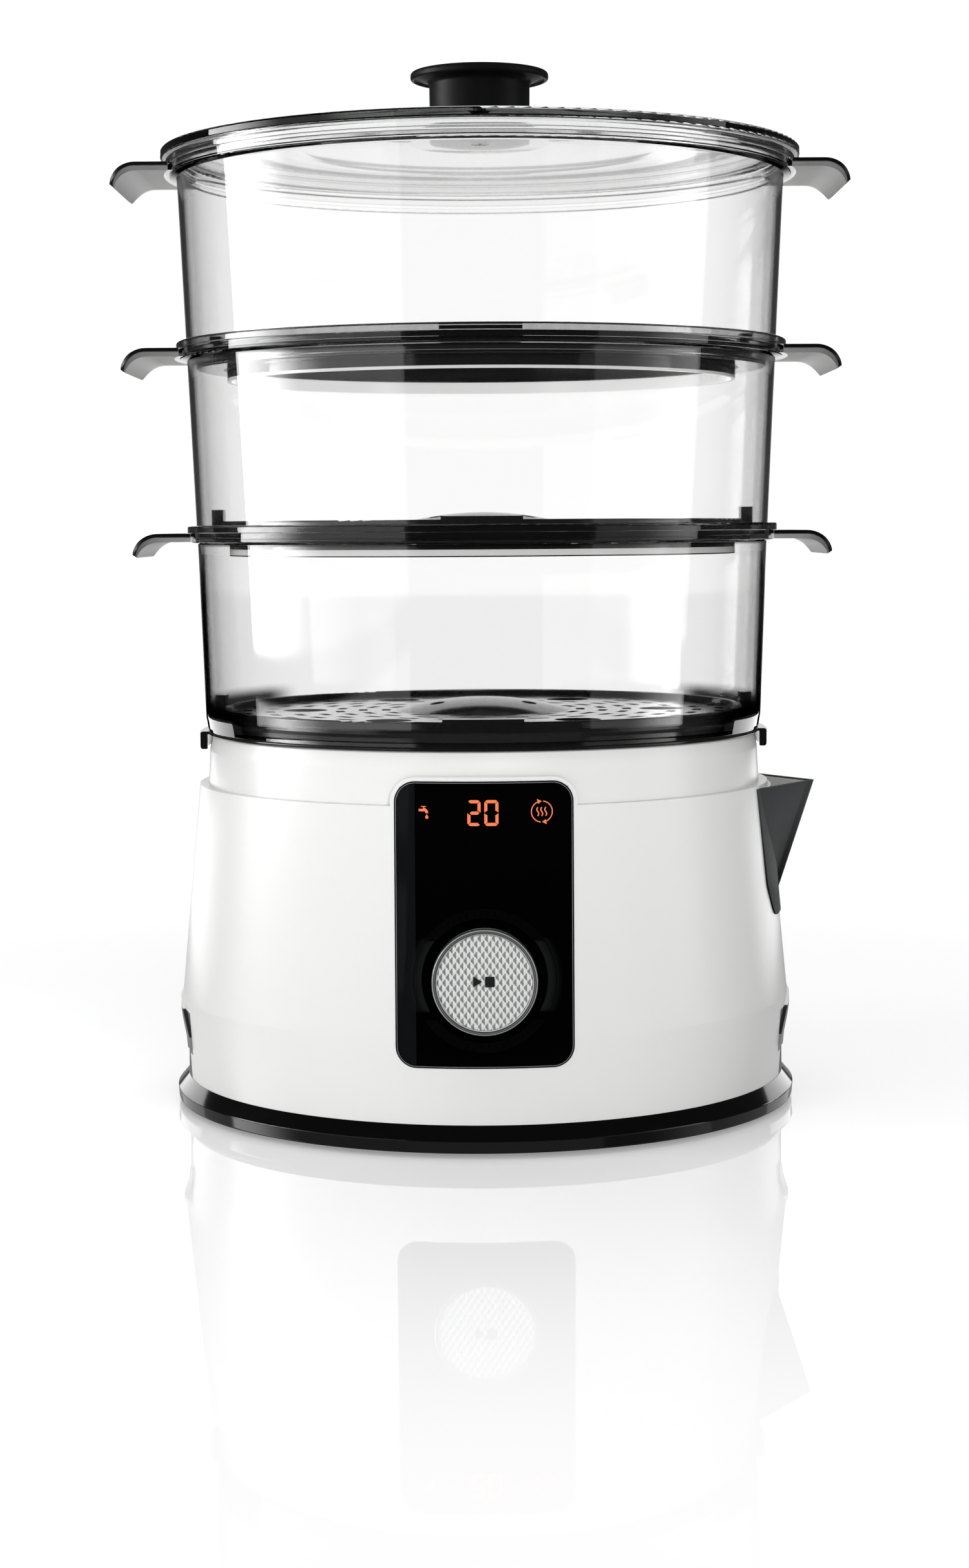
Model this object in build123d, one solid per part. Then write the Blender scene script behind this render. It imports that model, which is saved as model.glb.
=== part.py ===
from build123d import *
from math import cos, pi, radians, sin, sqrt
import os

# Electric food steamer: a round base with water tank, heater and control panel, a drip tray, three
# clear stacking bowls with removable perforated bottoms, and a clear lid.  Millimetres.
# +Z is up, z = 0 is the table, the control panel faces -Y and the filling spout points to +X.

os.makedirs("parts", exist_ok=True)

# ---- Driving dimensions: the base -------------------------------------------------------------
LEDGE_Z = 137.2            # top of the outer housing, where the collar rises out of it
LEDGE_R = 122.2            # housing radius at the ledge
FRONT_SLOPE = 0.0526       # how fast the housing widens downwards, front and back
SIDE_SLOPE = 0.0965        # the same at the two sides, which flare out over the hand grips
GRIP_LIP_Z = 46.0          # height of the lip over the hand grips
HOUSING_FOOT_Z = 12.5      # lower edge of the housing, on the base ring
HOUSING_FOOT_R = 128.7
HOUSING_WALL = 2.6
RING_R = 133.2             # gloss base ring
RING_CREASE_Z = 7.1
RING_FOOT_Z = 2.1
PLATE_Z0 = 3.0             # base plate, underside and upper side
PLATE_Z1 = 5.5
PLATE_R = 122.8
COLLAR_TOP_Z = 158.4       # white collar that carries the drip tray
COLLAR_TOP_R = 116.5
COLLAR_FOOT_R = 118.5
TANK_R = 99.0              # water tank basin, outside
TANK_WALL = 2.4
TANK_FLOOR_Z = 88.0
TOWER_R = 106.0            # four screw towers stand on the base plate
TOWER_ANGLES = (45, 135, 225, 315)

# ---- Driving dimensions: panel and dial -------------------------------------------------------
PANEL_W = 70.3
PANEL_Z0 = 34.8
PANEL_Z1 = 147.1
PANEL_CORNER = 8.3
BEZEL_W = 1.0
DIAL_Z = 69.3              # height at which the dial's axis leaves the panel
DIAL_R = 20.8              # clear rim of the dial
DIAL_DISC_R = 18.7
DIAL_FRONT = 8.1           # how far the dial stands out of the panel
DIAL_RECESS_R = 24.4
RIB_RING_R = 28.3
RIB_COUNT = 60
PUSH_TRAVEL = 0.8

# ---- Driving dimensions: the spout ------------------------------------------------------------
SPOUT_TOP_Z = 135.9
SPOUT_FOOT_Z = 81.5
SPOUT_HALF_W = 45.0
SPOUT_TIP_TOP = 144.1      # reach of the beak at its brim
SPOUT_TIP_SLOPE = 0.325    # how fast the beak draws in downwards
SPOUT_ROOT_X = 113.8       # where its flanks leave the housing
SPOUT_ROOT_SLOPE = 0.058
SPOUT_WALL = 1.6
DUCT_HALF_W = 24.0
DUCT_Z0 = 95.0
DUCT_Z1 = 126.0

# ---- Driving dimensions: drip tray, bowls, trays and lid --------------------------------------
# each bowl: underside, rim height, outer wall radius at the foot and under the rim, rim radius,
# radius of the skirt that enters the bowl below
BOWLS = {
    "bottom": dict(foot=159.8, rim=247.0, wall0=118.6, wall1=121.8, flange=126.1, skirt=118.3),
    "middle": dict(foot=239.1, rim=323.9, wall0=122.0, wall1=125.1, flange=129.7, skirt=118.5),
    "top": dict(foot=312.5, rim=400.0, wall0=125.2, wall1=128.3, flange=132.9, skirt=120.9),
}
RIM_BAND = 7.8             # height of the rim band below the rim
RIM_FLANGE = 3.1
RIM_SOCKET = 5.4           # depth of the socket that takes the next bowl
BOWL_WALL = 2.2
FLOOR_LEDGE_R = 109.5      # the removable bottom drops through to this ledge
FLOOR_LEDGE = 2.0
HANDLE_HALF_W = 35.0
HANDLE_REACH = 20.6        # beyond the rim flange
HANDLE_DROP = 10.0
HANDLE_ROOT = 3.5          # thickness at the rim and at the tip
HANDLE_TIP = 1.9
TRAY_R = 115.6
TRAY_SKIRT_R = 108.2
TRAY_PLATE = 5.5           # top of the perforated plate above the tray's seat
TRAY_DOME_R = 38.0
TRAY_DOME_RISE = 5.5
SLOT_RINGS = (42, 52, 62, 72, 82, 92, 102)
SLOT_W = 3.8
SLOT_PITCH = 19.0
EGG_HOLE_R = 9.5
EGG_PITCH_R = 77.0
DRIP_Z = 158.5             # underside of the drip tray's rim
DRIP_RIM = 1.2
LID_R = 135.0
LID_RIM = 3.7
LID_RISE = 7.0
KNOB_TOP_Z = 437.7
KNOB_R = 29.2
KNOB_STEM_R = 21.3
SEAT_GAP = 0.1             # paper-thin gap between parts that lift off each other
FIT = 0.05                 # radial clearance of screws and shafts


# ---- Shared shapes ----------------------------------------------------------------------------
def turned(*outline):
    """Revolve a closed outline of (radius, height) or (radius, height, corner radius) about Z."""
    points = [(p[0], p[1]) for p in outline]
    corners = [p[2] if len(p) > 2 else 0 for p in outline]
    return revolve(Plane.XZ * make_face(FilletPolyline(*points, radius=corners, close=True)))


def ring(r_in, r_out, z0, z1):
    return turned((r_in, z0), (r_out, z0), (r_out, z1), (r_in, z1))


def disc(radius, z0, z1, x=0.0, y=0.0):
    return Pos(x, y, z0) * extrude(Circle(radius), z1 - z0)


def block(x0, x1, y0, y1, z0, z1):
    centre = Pos((x0 + x1) / 2, (y0 + y1) / 2, (z0 + z1) / 2)
    return centre * Box(x1 - x0, y1 - y0, z1 - z0)


def around(solid, angles):
    return [Rot(0, 0, angle) * solid for angle in angles]


def save(node, *solids):
    shape = solids[0] if len(solids) == 1 else Compound(children=list(solids))
    export_step(shape, f"parts/{node}.step")


def one(shape):
    """The single solid of a boolean result."""
    solids = shape.solids()
    assert len(solids) == 1, f"expected one solid, got {len(solids)}"
    return solids[0]


# ---- Outer housing surface --------------------------------------------------------------------
def housing_radii(z):
    """Half axes (side, front) of the housing's plan outline at height z, above the grip lip."""
    down = LEDGE_Z - z
    return LEDGE_R + SIDE_SLOPE * down, LEDGE_R + FRONT_SLOPE * down


def housing_form(offset=0.0, top=150.0):
    """Solid inside the housing's outer surface, moved out by offset."""
    lip_side, lip_front = housing_radii(GRIP_LIP_Z)
    top_side, top_front = housing_radii(top)
    lower = loft(
        [
            Pos(0, 0, HOUSING_FOOT_Z) * Circle(HOUSING_FOOT_R + offset),
            Pos(0, 0, GRIP_LIP_Z) * Ellipse(lip_side + offset, lip_front + offset),
        ],
        ruled=True,
    )
    upper = loft(
        [
            Pos(0, 0, GRIP_LIP_Z) * Ellipse(lip_side + offset, lip_front + offset),
            Pos(0, 0, top) * Ellipse(top_side + offset, top_front + offset),
        ],
        ruled=True,
    )
    return lower + upper


def front_prism(width, z0, z1, corner, y0=-145.0, y1=-105.0):
    """Rounded upright rectangle pushed through the front wall along Y."""
    outline = RectangleRounded(width, z1 - z0, corner)
    plane = Plane(origin=(0, y1, (z0 + z1) / 2), x_dir=(1, 0, 0), z_dir=(0, -1, 0))
    return extrude(plane * outline, y1 - y0)


def side_prism(outline_face, x0, x1):
    """Push an outline drawn in (y, z) along X."""
    plane = Plane(origin=(x0, 0, 0), x_dir=(0, 1, 0), z_dir=(1, 0, 0))
    return extrude(plane * outline_face, x1 - x0)


GRIP_HALF_W = 31.0
GRIP_CROWN_R = 26.0


def grip_outline(grow=0.0):
    """Arched outline of a hand grip in (y, z)."""
    half = GRIP_HALF_W + grow
    shoulder = GRIP_LIP_Z - 15.0
    arch = make_face(
        Polyline((-half, shoulder), (-half, HOUSING_FOOT_Z - 2), (half, HOUSING_FOOT_Z - 2), (half, shoulder))
        + ThreePointArc((half, shoulder), (0, GRIP_LIP_Z - 3.0 + grow), (-half, shoulder))
    )
    return arch


# ---- Beak of the filling spout ----------------------------------------------------------------
def beak(inset, z0, z1):
    """Loft of the spout's beak between two heights; inset moves its walls inwards."""
    sections = []
    for z in (z0, z1):
        tip = SPOUT_TIP_TOP - SPOUT_TIP_SLOPE * (SPOUT_TOP_Z - z) - inset * 1.35
        half = SPOUT_HALF_W - inset
        root = SPOUT_ROOT_X + SPOUT_ROOT_SLOPE * (SPOUT_TOP_Z - z) - inset * 0.6
        nose = 5.0
        flank = (
            (90.0, -half),
            (root, -half),
            (tip - nose, -nose - 1.5),
            (tip, 0.0),
            (tip - nose, nose + 1.5),
            (root, half),
            (90.0, half),
        )
        outline = FilletPolyline(*flank, radius=[0, 3.0, 8.0, 4.0, 8.0, 3.0, 0], close=True)
        sections.append(Pos(0, 0, z) * make_face(outline))
    return loft(sections, ruled=True)


def spout_shield(inset=0.0):
    """Outline of the spout on the housing in (y, z): wide, with a rounded lower end."""
    half = SPOUT_HALF_W - inset
    foot = SPOUT_FOOT_Z + inset
    outline = FilletPolyline(
        (-half, SPOUT_TOP_Z + 12.0),
        (-half + 1.5, foot + 13.0),
        (-half + 9.0, foot),
        (half - 9.0, foot),
        (half - 1.5, foot + 13.0),
        (half, SPOUT_TOP_Z + 12.0),
        radius=[0, 12.0, 9.0, 9.0, 12.0, 0],
        close=True,
    )
    return make_face(outline)


# ---- Frame of the dial: x across, y up the panel, z out of it ---------------------------------
TILT = radians(3.0)
DIAL_PANEL_R = LEDGE_R + FRONT_SLOPE * (LEDGE_Z - DIAL_Z)
DIAL = Plane(
    origin=(0, -DIAL_PANEL_R, DIAL_Z),
    x_dir=(1, 0, 0),
    z_dir=(0, -cos(TILT), sin(TILT)),
)


def dial_turned(*outline):
    """Revolve an outline of (radius, distance out of the panel) about the dial's axis."""
    return DIAL.location * turned(*outline)


def dial_block(x0, x1, y0, y1, z0, z1):
    return DIAL.location * block(x0, x1, y0, y1, z0, z1)


# ---- Pieces of the base -----------------------------------------------------------------------
def make_base_ring():
    return one(
        turned(
            (118.0, PLATE_Z1),
            (PLATE_R + 0.2, PLATE_Z1),
            (PLATE_R + 0.2, RING_FOOT_Z),
            (RING_R, RING_FOOT_Z, 0.8),
            (RING_R + 0.4, RING_CREASE_Z, 0.6),
            (HOUSING_FOOT_R + 0.2, HOUSING_FOOT_Z),
            (125.4, HOUSING_FOOT_Z),
            (125.4, 17.0, 0.6),
            (PLATE_R + 0.2, 17.0),
            (PLATE_R + 0.2, PLATE_Z1 + 2.5),
            (118.0, PLATE_Z1 + 2.5),
        )
    )


BOARD_Z = 14.0
POWER_BOARD = dict(x0=-38.0, x1=38.0, y0=14.0, y1=66.0)
STANDOFFS = ((-33, 19), (33, 19), (-33, 61), (33, 61))
FOOT_ANGLES = (30, 150, 210, 330)
FOOT_PITCH_R = 104.0
FEET = [(FOOT_PITCH_R * cos(radians(a)), FOOT_PITCH_R * sin(radians(a))) for a in FOOT_ANGLES]
TOWERS = [(TOWER_R * cos(radians(a)), TOWER_R * sin(radians(a))) for a in TOWER_ANGLES]


def make_base_plate():
    plate = disc(PLATE_R, PLATE_Z0, PLATE_Z1)
    for x, y in STANDOFFS:
        plate += disc(3.5, PLATE_Z1, BOARD_Z, x, y)
    cuts = [disc(1.5, PLATE_Z1 + 1, BOARD_Z, x, y) for x, y in STANDOFFS]
    for x, y in TOWERS:
        cuts.append(disc(2.0, PLATE_Z0, PLATE_Z1, x, y))
        cuts.append(disc(4.2, PLATE_Z0, PLATE_Z0 + 1.3, x, y))
    for x, y in FEET:
        cuts.append(disc(3.1, PLATE_Z0, PLATE_Z1, x, y))
    slot = extrude(Pos(0, 0, PLATE_Z0) * SlotOverall(26.0, 3.0), PLATE_Z1 - PLATE_Z0)
    cuts += [Pos(0, -20.0 - 8.0 * row, 0) * slot for row in range(6)]
    return one(plate - cuts)


def make_rubber_feet():
    foot = turned(
        (0, 0), (8.0, 0, 1.2), (9.0, PLATE_Z0), (3.0, PLATE_Z0), (3.0, PLATE_Z1), (4.2, PLATE_Z1),
        (3.2, PLATE_Z1 + 2.0, 0.6), (0, PLATE_Z1 + 2.0),
    )
    return [Pos(x, y, 0) * foot for x, y in FEET]


def make_base_screws():
    screw = turned(
        (0, PLATE_Z0 + 0.1), (3.8, PLATE_Z0 + 0.1), (3.8, PLATE_Z0 + 1.3), (1.6, PLATE_Z0 + 1.3),
        (1.6, 20.0), (0, 21.5),
    )
    screw -= Pos(0, 0, PLATE_Z0 + 0.1) * extrude(Rectangle(4.4, 0.8) + Rectangle(0.8, 4.4), 0.8)
    return [Pos(x, y, 0) * screw for x, y in TOWERS]


def make_outer_housing():
    shell = housing_form() - housing_form(-HOUSING_WALL)
    frame_z = PANEL_Z1 + 1.6
    tombstone = front_prism(PANEL_W + 3.2, 100.0, frame_z, PANEL_CORNER + 1.6)
    above = block(-150, 150, -150, 150, LEDGE_Z, 151.0)
    shell -= above - tombstone
    ledge_front = housing_radii(LEDGE_Z - HOUSING_WALL)[1]
    ledge = ring(118.0, ledge_front - HOUSING_WALL + 0.3, LEDGE_Z - HOUSING_WALL, LEDGE_Z)
    housing = shell + ledge
    panel_hole = front_prism(PANEL_W + 0.1, PANEL_Z0 - 0.05, PANEL_Z1 + 0.05, PANEL_CORNER)
    housing -= panel_hole - housing_form(-HOUSING_WALL - 0.05)
    housing -= block(-33.1, 33.1, -121.0, -100.0, 125.0, 144.9)
    housing += make_grip_lip()
    housing -= side_prism(grip_outline(), 118.0, 140.0)
    housing -= side_prism(grip_outline(), -140.0, -118.0)
    duct = block(100.0, 135.0, -DUCT_HALF_W - 2.0, DUCT_HALF_W + 2.0, DUCT_Z0 - 2.0, DUCT_Z1 + 2.0)
    housing -= duct
    housing -= gland_bore(6.1)
    return one(housing)


def make_grip_lip():
    """Raised lip over both arches: it swells out of the housing and fades away downwards."""
    levels = ((26.0, -0.3), (41.0, 0.9), (45.5, 0.9), (49.0, -0.3))
    sections = []
    for z, offset in levels:
        side, front = housing_radii(max(z, GRIP_LIP_Z))
        sections.append(Pos(0, 0, z) * Ellipse(side + offset, front + offset))
    swell = loft(sections, ruled=True) - housing_form(-0.8)
    return swell & side_prism(grip_outline(6.0) - grip_outline(), -140.0, 140.0)


GLAND_Z = 28.0


def gland_bore(radius):
    plane = Plane(origin=(0, 118.0, GLAND_Z), x_dir=(1, 0, 0), z_dir=(0, 1, 0))
    return extrude(plane * Circle(radius), 20.0)


def make_cord_gland():
    """Rubber bush in the back wall: flange outside, groove for the wall, collar inside."""
    gland = turned(
        (3.6, 0), (8.0, 0), (8.0, 4.0), (6.0, 4.0), (6.0, 9.6), (9.0, 9.6), (7.0, 12.6, 1.0), (3.6, 12.6)
    )
    plane = Plane(origin=(0, 120.9, GLAND_Z), x_dir=(1, 0, 0), z_dir=(0, 1, 0))
    body = plane.location * gland
    wall = housing_form() - housing_form(-HOUSING_WALL)
    neck = plane.location * turned((3.6, 0), (6.0, 0), (6.0, 12.6), (3.6, 12.6))
    return one((body - wall) + neck)


def make_grip(side):
    """Soft black grip that closes the arched opening: it hooks out under the lip."""
    surface = turned(
        (125.9, HOUSING_FOOT_Z),
        (128.75, HOUSING_FOOT_Z),
        (128.7, 24.0, 12.0),
        (128.9, 33.0, 6.0),
        (131.2, 40.0, 4.0),
        (131.5, GRIP_LIP_Z),
        (128.6, GRIP_LIP_Z),
        (126.2, 36.0),
        (125.9, 30.0),
    )
    if side > 0:
        prism = side_prism(grip_outline(-0.1), 110.0, 140.0)
    else:
        prism = side_prism(grip_outline(-0.1), -140.0, -110.0)
    return one(surface & prism)


def make_water_tank():
    wall_in = TANK_R - TANK_WALL
    step_z = LEDGE_Z - HOUSING_WALL
    tank = turned(
        (44.0, TANK_FLOOR_Z),
        (TANK_R, TANK_FLOOR_Z, 3.0),
        (TANK_R, step_z - TANK_WALL),
        (119.3, step_z - TANK_WALL),
        (119.3, step_z),
        (117.8, step_z),
        (117.8, LEDGE_Z + 0.05),
        (COLLAR_FOOT_R, LEDGE_Z + 0.05),
        (117.7, 152.0, 8.0),
        (COLLAR_TOP_R, COLLAR_TOP_Z, 1.0),
        (COLLAR_TOP_R - TANK_WALL, COLLAR_TOP_Z, 0.6),
        (COLLAR_FOOT_R - 2.6, 150.0),
        (COLLAR_FOOT_R - 2.6, step_z, 2.0),
        (wall_in, step_z, 2.0),
        (wall_in, TANK_FLOOR_Z + TANK_WALL, 4.0),
        (44.0, TANK_FLOOR_Z + TANK_WALL - 0.4),
    )
    tower = disc(5.0, PLATE_Z1, step_z - 1.0, TOWER_R, 0)
    rib = block(TANK_R - 0.6, TOWER_R - 2.0, -1.0, 1.0, TANK_FLOOR_Z + 4.0, step_z - 1.0)
    tank += around(tower + rib, TOWER_ANGLES)
    tank += block(-33.0, 33.0, -114.3, -105.6, step_z - 1.0, 144.8)
    pocket = block(-31.5, 31.5, -125.0, -107.0, 120.0, 143.4)
    tank -= pocket
    bore = disc(1.6 + FIT, PLATE_Z1, 24.0)
    tank -= [Pos(x, y, 0) * bore for x, y in TOWERS]
    boss = disc(4.0, TANK_FLOOR_Z + 1.0, 97.0, HEATER_SCREW_R, 0)
    tank += around(boss, HEATER_SCREW_ANGLES)
    tank -= around(disc(1.5 + FIT, TANK_FLOOR_Z, 95.0, HEATER_SCREW_R, 0), HEATER_SCREW_ANGLES)
    port = block(85.0, 105.0, -DUCT_HALF_W - 0.1, DUCT_HALF_W + 0.1, DUCT_Z0 - 0.1, DUCT_Z1 + 0.1)
    return one(tank - port)


HEATER_SCREW_R = 52.0
HEATER_SCREW_ANGLES = (30, 150, 270)
HEATER_FLANGE_R = 58.0


def make_heater_plate():
    """Die-cast plate that closes the tank floor from below; water stands on its raised middle."""
    plate = turned(
        (0, 84.4), (HEATER_FLANGE_R, 84.4), (HEATER_FLANGE_R, 86.8), (43.4, 86.8),
        (43.4, 91.5, 1.5), (30.0, 92.5, 4.0), (0, 92.5),
    )
    plate -= around(disc(1.5 + FIT, 84.4, 86.8, HEATER_SCREW_R, 0), HEATER_SCREW_ANGLES)
    return one(plate)


def make_heater_seal():
    seal = turned(
        (43.5, 86.8), (HEATER_FLANGE_R, 86.8), (HEATER_FLANGE_R, TANK_FLOOR_Z), (44.0, TANK_FLOOR_Z),
        (43.9, 89.6), (43.5, 89.6),
    )
    seal -= around(disc(2.2, 86.8, TANK_FLOOR_Z, HEATER_SCREW_R, 0), HEATER_SCREW_ANGLES)
    return one(seal)


def make_heater_screws():
    screw = turned((0, 81.8), (3.0, 81.8, 0.6), (3.0, 84.4), (1.5, 84.4), (1.5, 94.0), (0, 95.0))
    return around(Pos(HEATER_SCREW_R, 0, 0) * screw, HEATER_SCREW_ANGLES)


ELEMENT_R = 31.0
ELEMENT_TUBE_R = 4.0
ELEMENT_Z = 84.4 - 4.0
ELEMENT_GAP = 24.0         # half angle of the gap where the cold ends turn down


def make_heating_element():
    """Sheathed tube element: a 312 degree ring brazed under the plate, both ends bent down."""
    angle = 90.0 - ELEMENT_GAP
    x = ELEMENT_R * cos(radians(angle))
    y = ELEMENT_R * sin(radians(angle))
    start = (x, y, ELEMENT_Z)
    tube = revolve(Plane.XZ * Pos(ELEMENT_R, ELEMENT_Z) * Circle(ELEMENT_TUBE_R), Axis.Z, 360 - 2 * ELEMENT_GAP)
    tube = Rot(0, 0, 90 + ELEMENT_GAP) * tube
    for side in (-1, 1):
        bend = Pos(side * x, y, ELEMENT_Z) * Sphere(ELEMENT_TUBE_R)
        leg = disc(ELEMENT_TUBE_R, 66.0, ELEMENT_Z, side * x, y)
        pin = disc(1.2, 58.0, 66.0, side * x, y)
        tube += [bend, leg, pin]
    return one(tube), start


def make_thermostat():
    """Bimetal disc switch pressed against the middle of the heater plate."""
    body = disc(9.0, 75.4, 84.4) + disc(7.0, 71.4, 75.4)
    for x in (-4.0, 4.0):
        body += block(x - 1.2, x + 1.2, -3.2, 3.2, 64.0, 71.6)
    return one(body)


def make_thermal_fuse():
    """Axial thermal fuse in its clip, against the plate beside the thermostat."""
    clip = block(-8.0, 8.0, -22.0, -14.0, 82.9, 84.4)
    plane = Plane(origin=(-10.0, -18.0, 80.0), x_dir=(0, 1, 0), z_dir=(1, 0, 0))
    return one(clip + extrude(plane * Circle(3.0), 20.0))


def make_temperature_sensor():
    """Bead sensor that tells the control board when the plate runs dry."""
    return one(disc(3.0, 76.0, 84.4, 0, 17.0) + disc(1.5, 72.0, 76.0, 0, 17.0))


def make_power_board():
    b = POWER_BOARD
    board = block(b["x0"], b["x1"], b["y0"], b["y1"], BOARD_Z, BOARD_Z + 1.6)
    return one(board - [disc(1.7, BOARD_Z, BOARD_Z + 1.6, x, y) for x, y in STANDOFFS])


def make_board_screws():
    top = BOARD_Z + 1.6
    screw = turned((0, 7.5), (1.45, 8.5), (1.45, top), (2.8, top), (2.8, top + 1.2, 0.5), (0, top + 2.0))
    return [Pos(x, y, 0) * screw for x, y in STANDOFFS]


BOARD_TOP = BOARD_Z + 1.6


def make_relay():
    body = block(8.0, 27.0, 42.0, 57.5, BOARD_TOP, BOARD_TOP + 15.5)
    return one(fillet(body.edges().filter_by(Axis.Z), 0.8))


def make_transformer():
    core = block(-27.0, -5.0, 26.0, 46.0, BOARD_TOP + 3.0, BOARD_TOP + 14.0)
    bobbin = block(-22.0, -10.0, 23.0, 49.0, BOARD_TOP, BOARD_TOP + 17.0)
    return one(core + fillet(bobbin.edges().filter_by(Axis.Z), 1.5))


def make_capacitor():
    can = disc(6.5, BOARD_TOP, BOARD_TOP + 19.0, 15.0, 30.0)
    return one(fillet(can.edges().group_by(Axis.Z)[-1], 0.8))


TERMINAL_Y = 88.0


def make_terminal_block():
    body = block(-15.0, 15.0, TERMINAL_Y - 7, TERMINAL_Y + 7, PLATE_Z1, PLATE_Z1 + 13.0)
    cuts = []
    for x in (-10.0, 0.0, 10.0):
        cuts.append(disc(2.4, PLATE_Z1 + 7.0, PLATE_Z1 + 13.0, x, TERMINAL_Y + 3.5))
        cuts.append(block(x - 2.2, x + 2.2, TERMINAL_Y - 7, TERMINAL_Y - 1, PLATE_Z1 + 4, PLATE_Z1 + 9))
    return one(body - cuts)


LEAD_R = 1.5


def make_heater_leads(element_end):
    """Two insulated leads from the terminal block up to the heater's pins."""
    leads = []
    for side in (-1, 1):
        start = (side * 10.0, TERMINAL_Y - 3.5, PLATE_Z1 + 13.0)
        x, y = side * element_end[0], element_end[1]
        path = FilletPolyline(
            start, (side * 10.0, TERMINAL_Y - 3.5, 44.0), (x, y, 44.0), (x, y, 58.0), radius=7.0
        )
        plane = Plane(origin=start, z_dir=(0, 0, 1))
        leads.append(one(sweep(plane * Circle(LEAD_R), path)))
    return leads


# ---- Pieces of the control panel --------------------------------------------------------------
def make_panel_bezel():
    frame = front_prism(PANEL_W, PANEL_Z0, PANEL_Z1, PANEL_CORNER)
    frame -= front_prism(
        PANEL_W - 2 * BEZEL_W, PANEL_Z0 + BEZEL_W, PANEL_Z1 - BEZEL_W, PANEL_CORNER - BEZEL_W
    )
    return one(frame & (housing_form(0.25) - housing_form(-HOUSING_WALL)))


def scoop(side):
    """Shallow finger scoop beside the dial, part of a large ball."""
    rim_r = 19.8
    deep = 2.6
    ball_r = (rim_r**2 + deep**2) / (2 * deep)
    centre = side * 11.7
    surface = -(DIAL_PANEL_R - sqrt(DIAL_PANEL_R**2 - 24.0**2))
    return DIAL.location * Pos(centre, 0, ball_r - deep + surface + 1.2) * Sphere(ball_r)


def make_panel_window():
    gap = BEZEL_W + 0.05
    plate = front_prism(PANEL_W - 2 * gap, PANEL_Z0 + gap, PANEL_Z1 - gap, PANEL_CORNER - gap)
    plate = plate & (housing_form() - housing_form(-HOUSING_WALL))
    boss = dial_turned((0, -14), (33.0, -14), (33.0, 4), (0, 4))
    plate += boss & (housing_form(-1.0) - housing_form(-HOUSING_WALL - 2.0))
    groove = dial_turned((0, -14), (RIB_RING_R, -14), (RIB_RING_R, 4), (0, 4))
    plate -= groove & (housing_form(1.0) - housing_form(-1.2))
    recess = dial_turned((0, -14), (DIAL_RECESS_R, -14), (DIAL_RECESS_R, 4), (0, 4))
    plate -= recess & (housing_form(1.0) - housing_form(-1.9))
    plate -= [scoop(-1), scoop(1)]
    plate -= dial_turned((0, -20), (6.0, -20), (6.0, 4), (0, 4))
    return one(plate)


def make_rib_ring():
    """Ring of fine radial ribs let into the panel around the dial, open beside the scoops."""
    tube = dial_turned(
        (DIAL_RECESS_R + 0.1, -14), (RIB_RING_R - 0.05, -14), (RIB_RING_R - 0.05, 4), (DIAL_RECESS_R + 0.1, 4)
    )
    band = tube & (housing_form() - housing_form(-1.2))
    bar = block(DIAL_RECESS_R + 0.7, RIB_RING_R - 0.6, -0.45, 0.45, -14.0, 4.0)
    step = 360.0 / RIB_COUNT
    bars = [DIAL.location * Rot(0, 0, (i + 0.5) * step) * bar for i in range(RIB_COUNT)]
    grooves = Compound(children=bars) & (housing_form(1.0) - housing_form(-0.4))
    band -= grooves.solids()
    side_cut = block(-40, 40, -15.6, 15.6, -20, 6)
    return band - DIAL.location * side_cut


def make_panel_carrier():
    """Black frame behind the housing wall: holds the window, the display and the board."""
    plate = front_prism(76.0, 31.0, 131.0, 6.0, y1=-95.0)
    shell = housing_form(-HOUSING_WALL) - housing_form(-HOUSING_WALL - 2.0)
    carrier = plate & shell
    carrier -= dial_turned((0, -30), (33.3, -30), (33.3, 6), (0, 6))
    carrier -= dial_block(-31.3, 31.3, 54.0, 90.0, -30.0, 6.0)
    for x, y in BOARD_POSTS:
        post = dial_turned((0, BOARD_FRONT), (3.0, BOARD_FRONT), (3.0, 0), (0, 0))
        post = shifted(post, x, y) & housing_form(-HOUSING_WALL - 0.5)
        carrier += post
    for x, y in BOARD_POSTS:
        pilot = dial_turned((0, BOARD_FRONT), (1.25, BOARD_FRONT), (1.25, BOARD_FRONT + 5), (0, BOARD_FRONT + 5))
        carrier -= shifted(pilot, x, y)
    return one(carrier)


BOARD_FRONT = -12.0
BOARD_T = 1.6
BOARD_POSTS = ((-33.5, -26), (33.5, -26), (-33.5, 46), (33.5, 46))


def shifted(solid, x, y):
    """Move a piece across the panel by x and up the panel by y."""
    up = DIAL.y_dir * y
    return Pos(x, up.Y, up.Z) * solid


def make_control_board():
    board = dial_block(-31.0, 31.0, -30.0, 72.5, BOARD_FRONT - BOARD_T, BOARD_FRONT)
    ears = [
        shifted(dial_block(-4.0, 4.0, -4.0, 4.0, BOARD_FRONT - BOARD_T, BOARD_FRONT), x, y)
        for x, y in BOARD_POSTS
    ]
    board += ears
    hole = dial_turned((0, -20), (1.35, -20), (1.35, -10), (0, -10))
    board -= [shifted(hole, x, y) for x, y in BOARD_POSTS]
    return one(board)


def make_control_screws():
    back = BOARD_FRONT - BOARD_T
    screw = dial_turned(
        (0, back - 1.8), (2.4, back - 1.4), (2.4, back), (1.2, back), (1.2, BOARD_FRONT + 4), (0, BOARD_FRONT + 4.5)
    )
    return [shifted(screw, x, y) for x, y in BOARD_POSTS]


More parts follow.
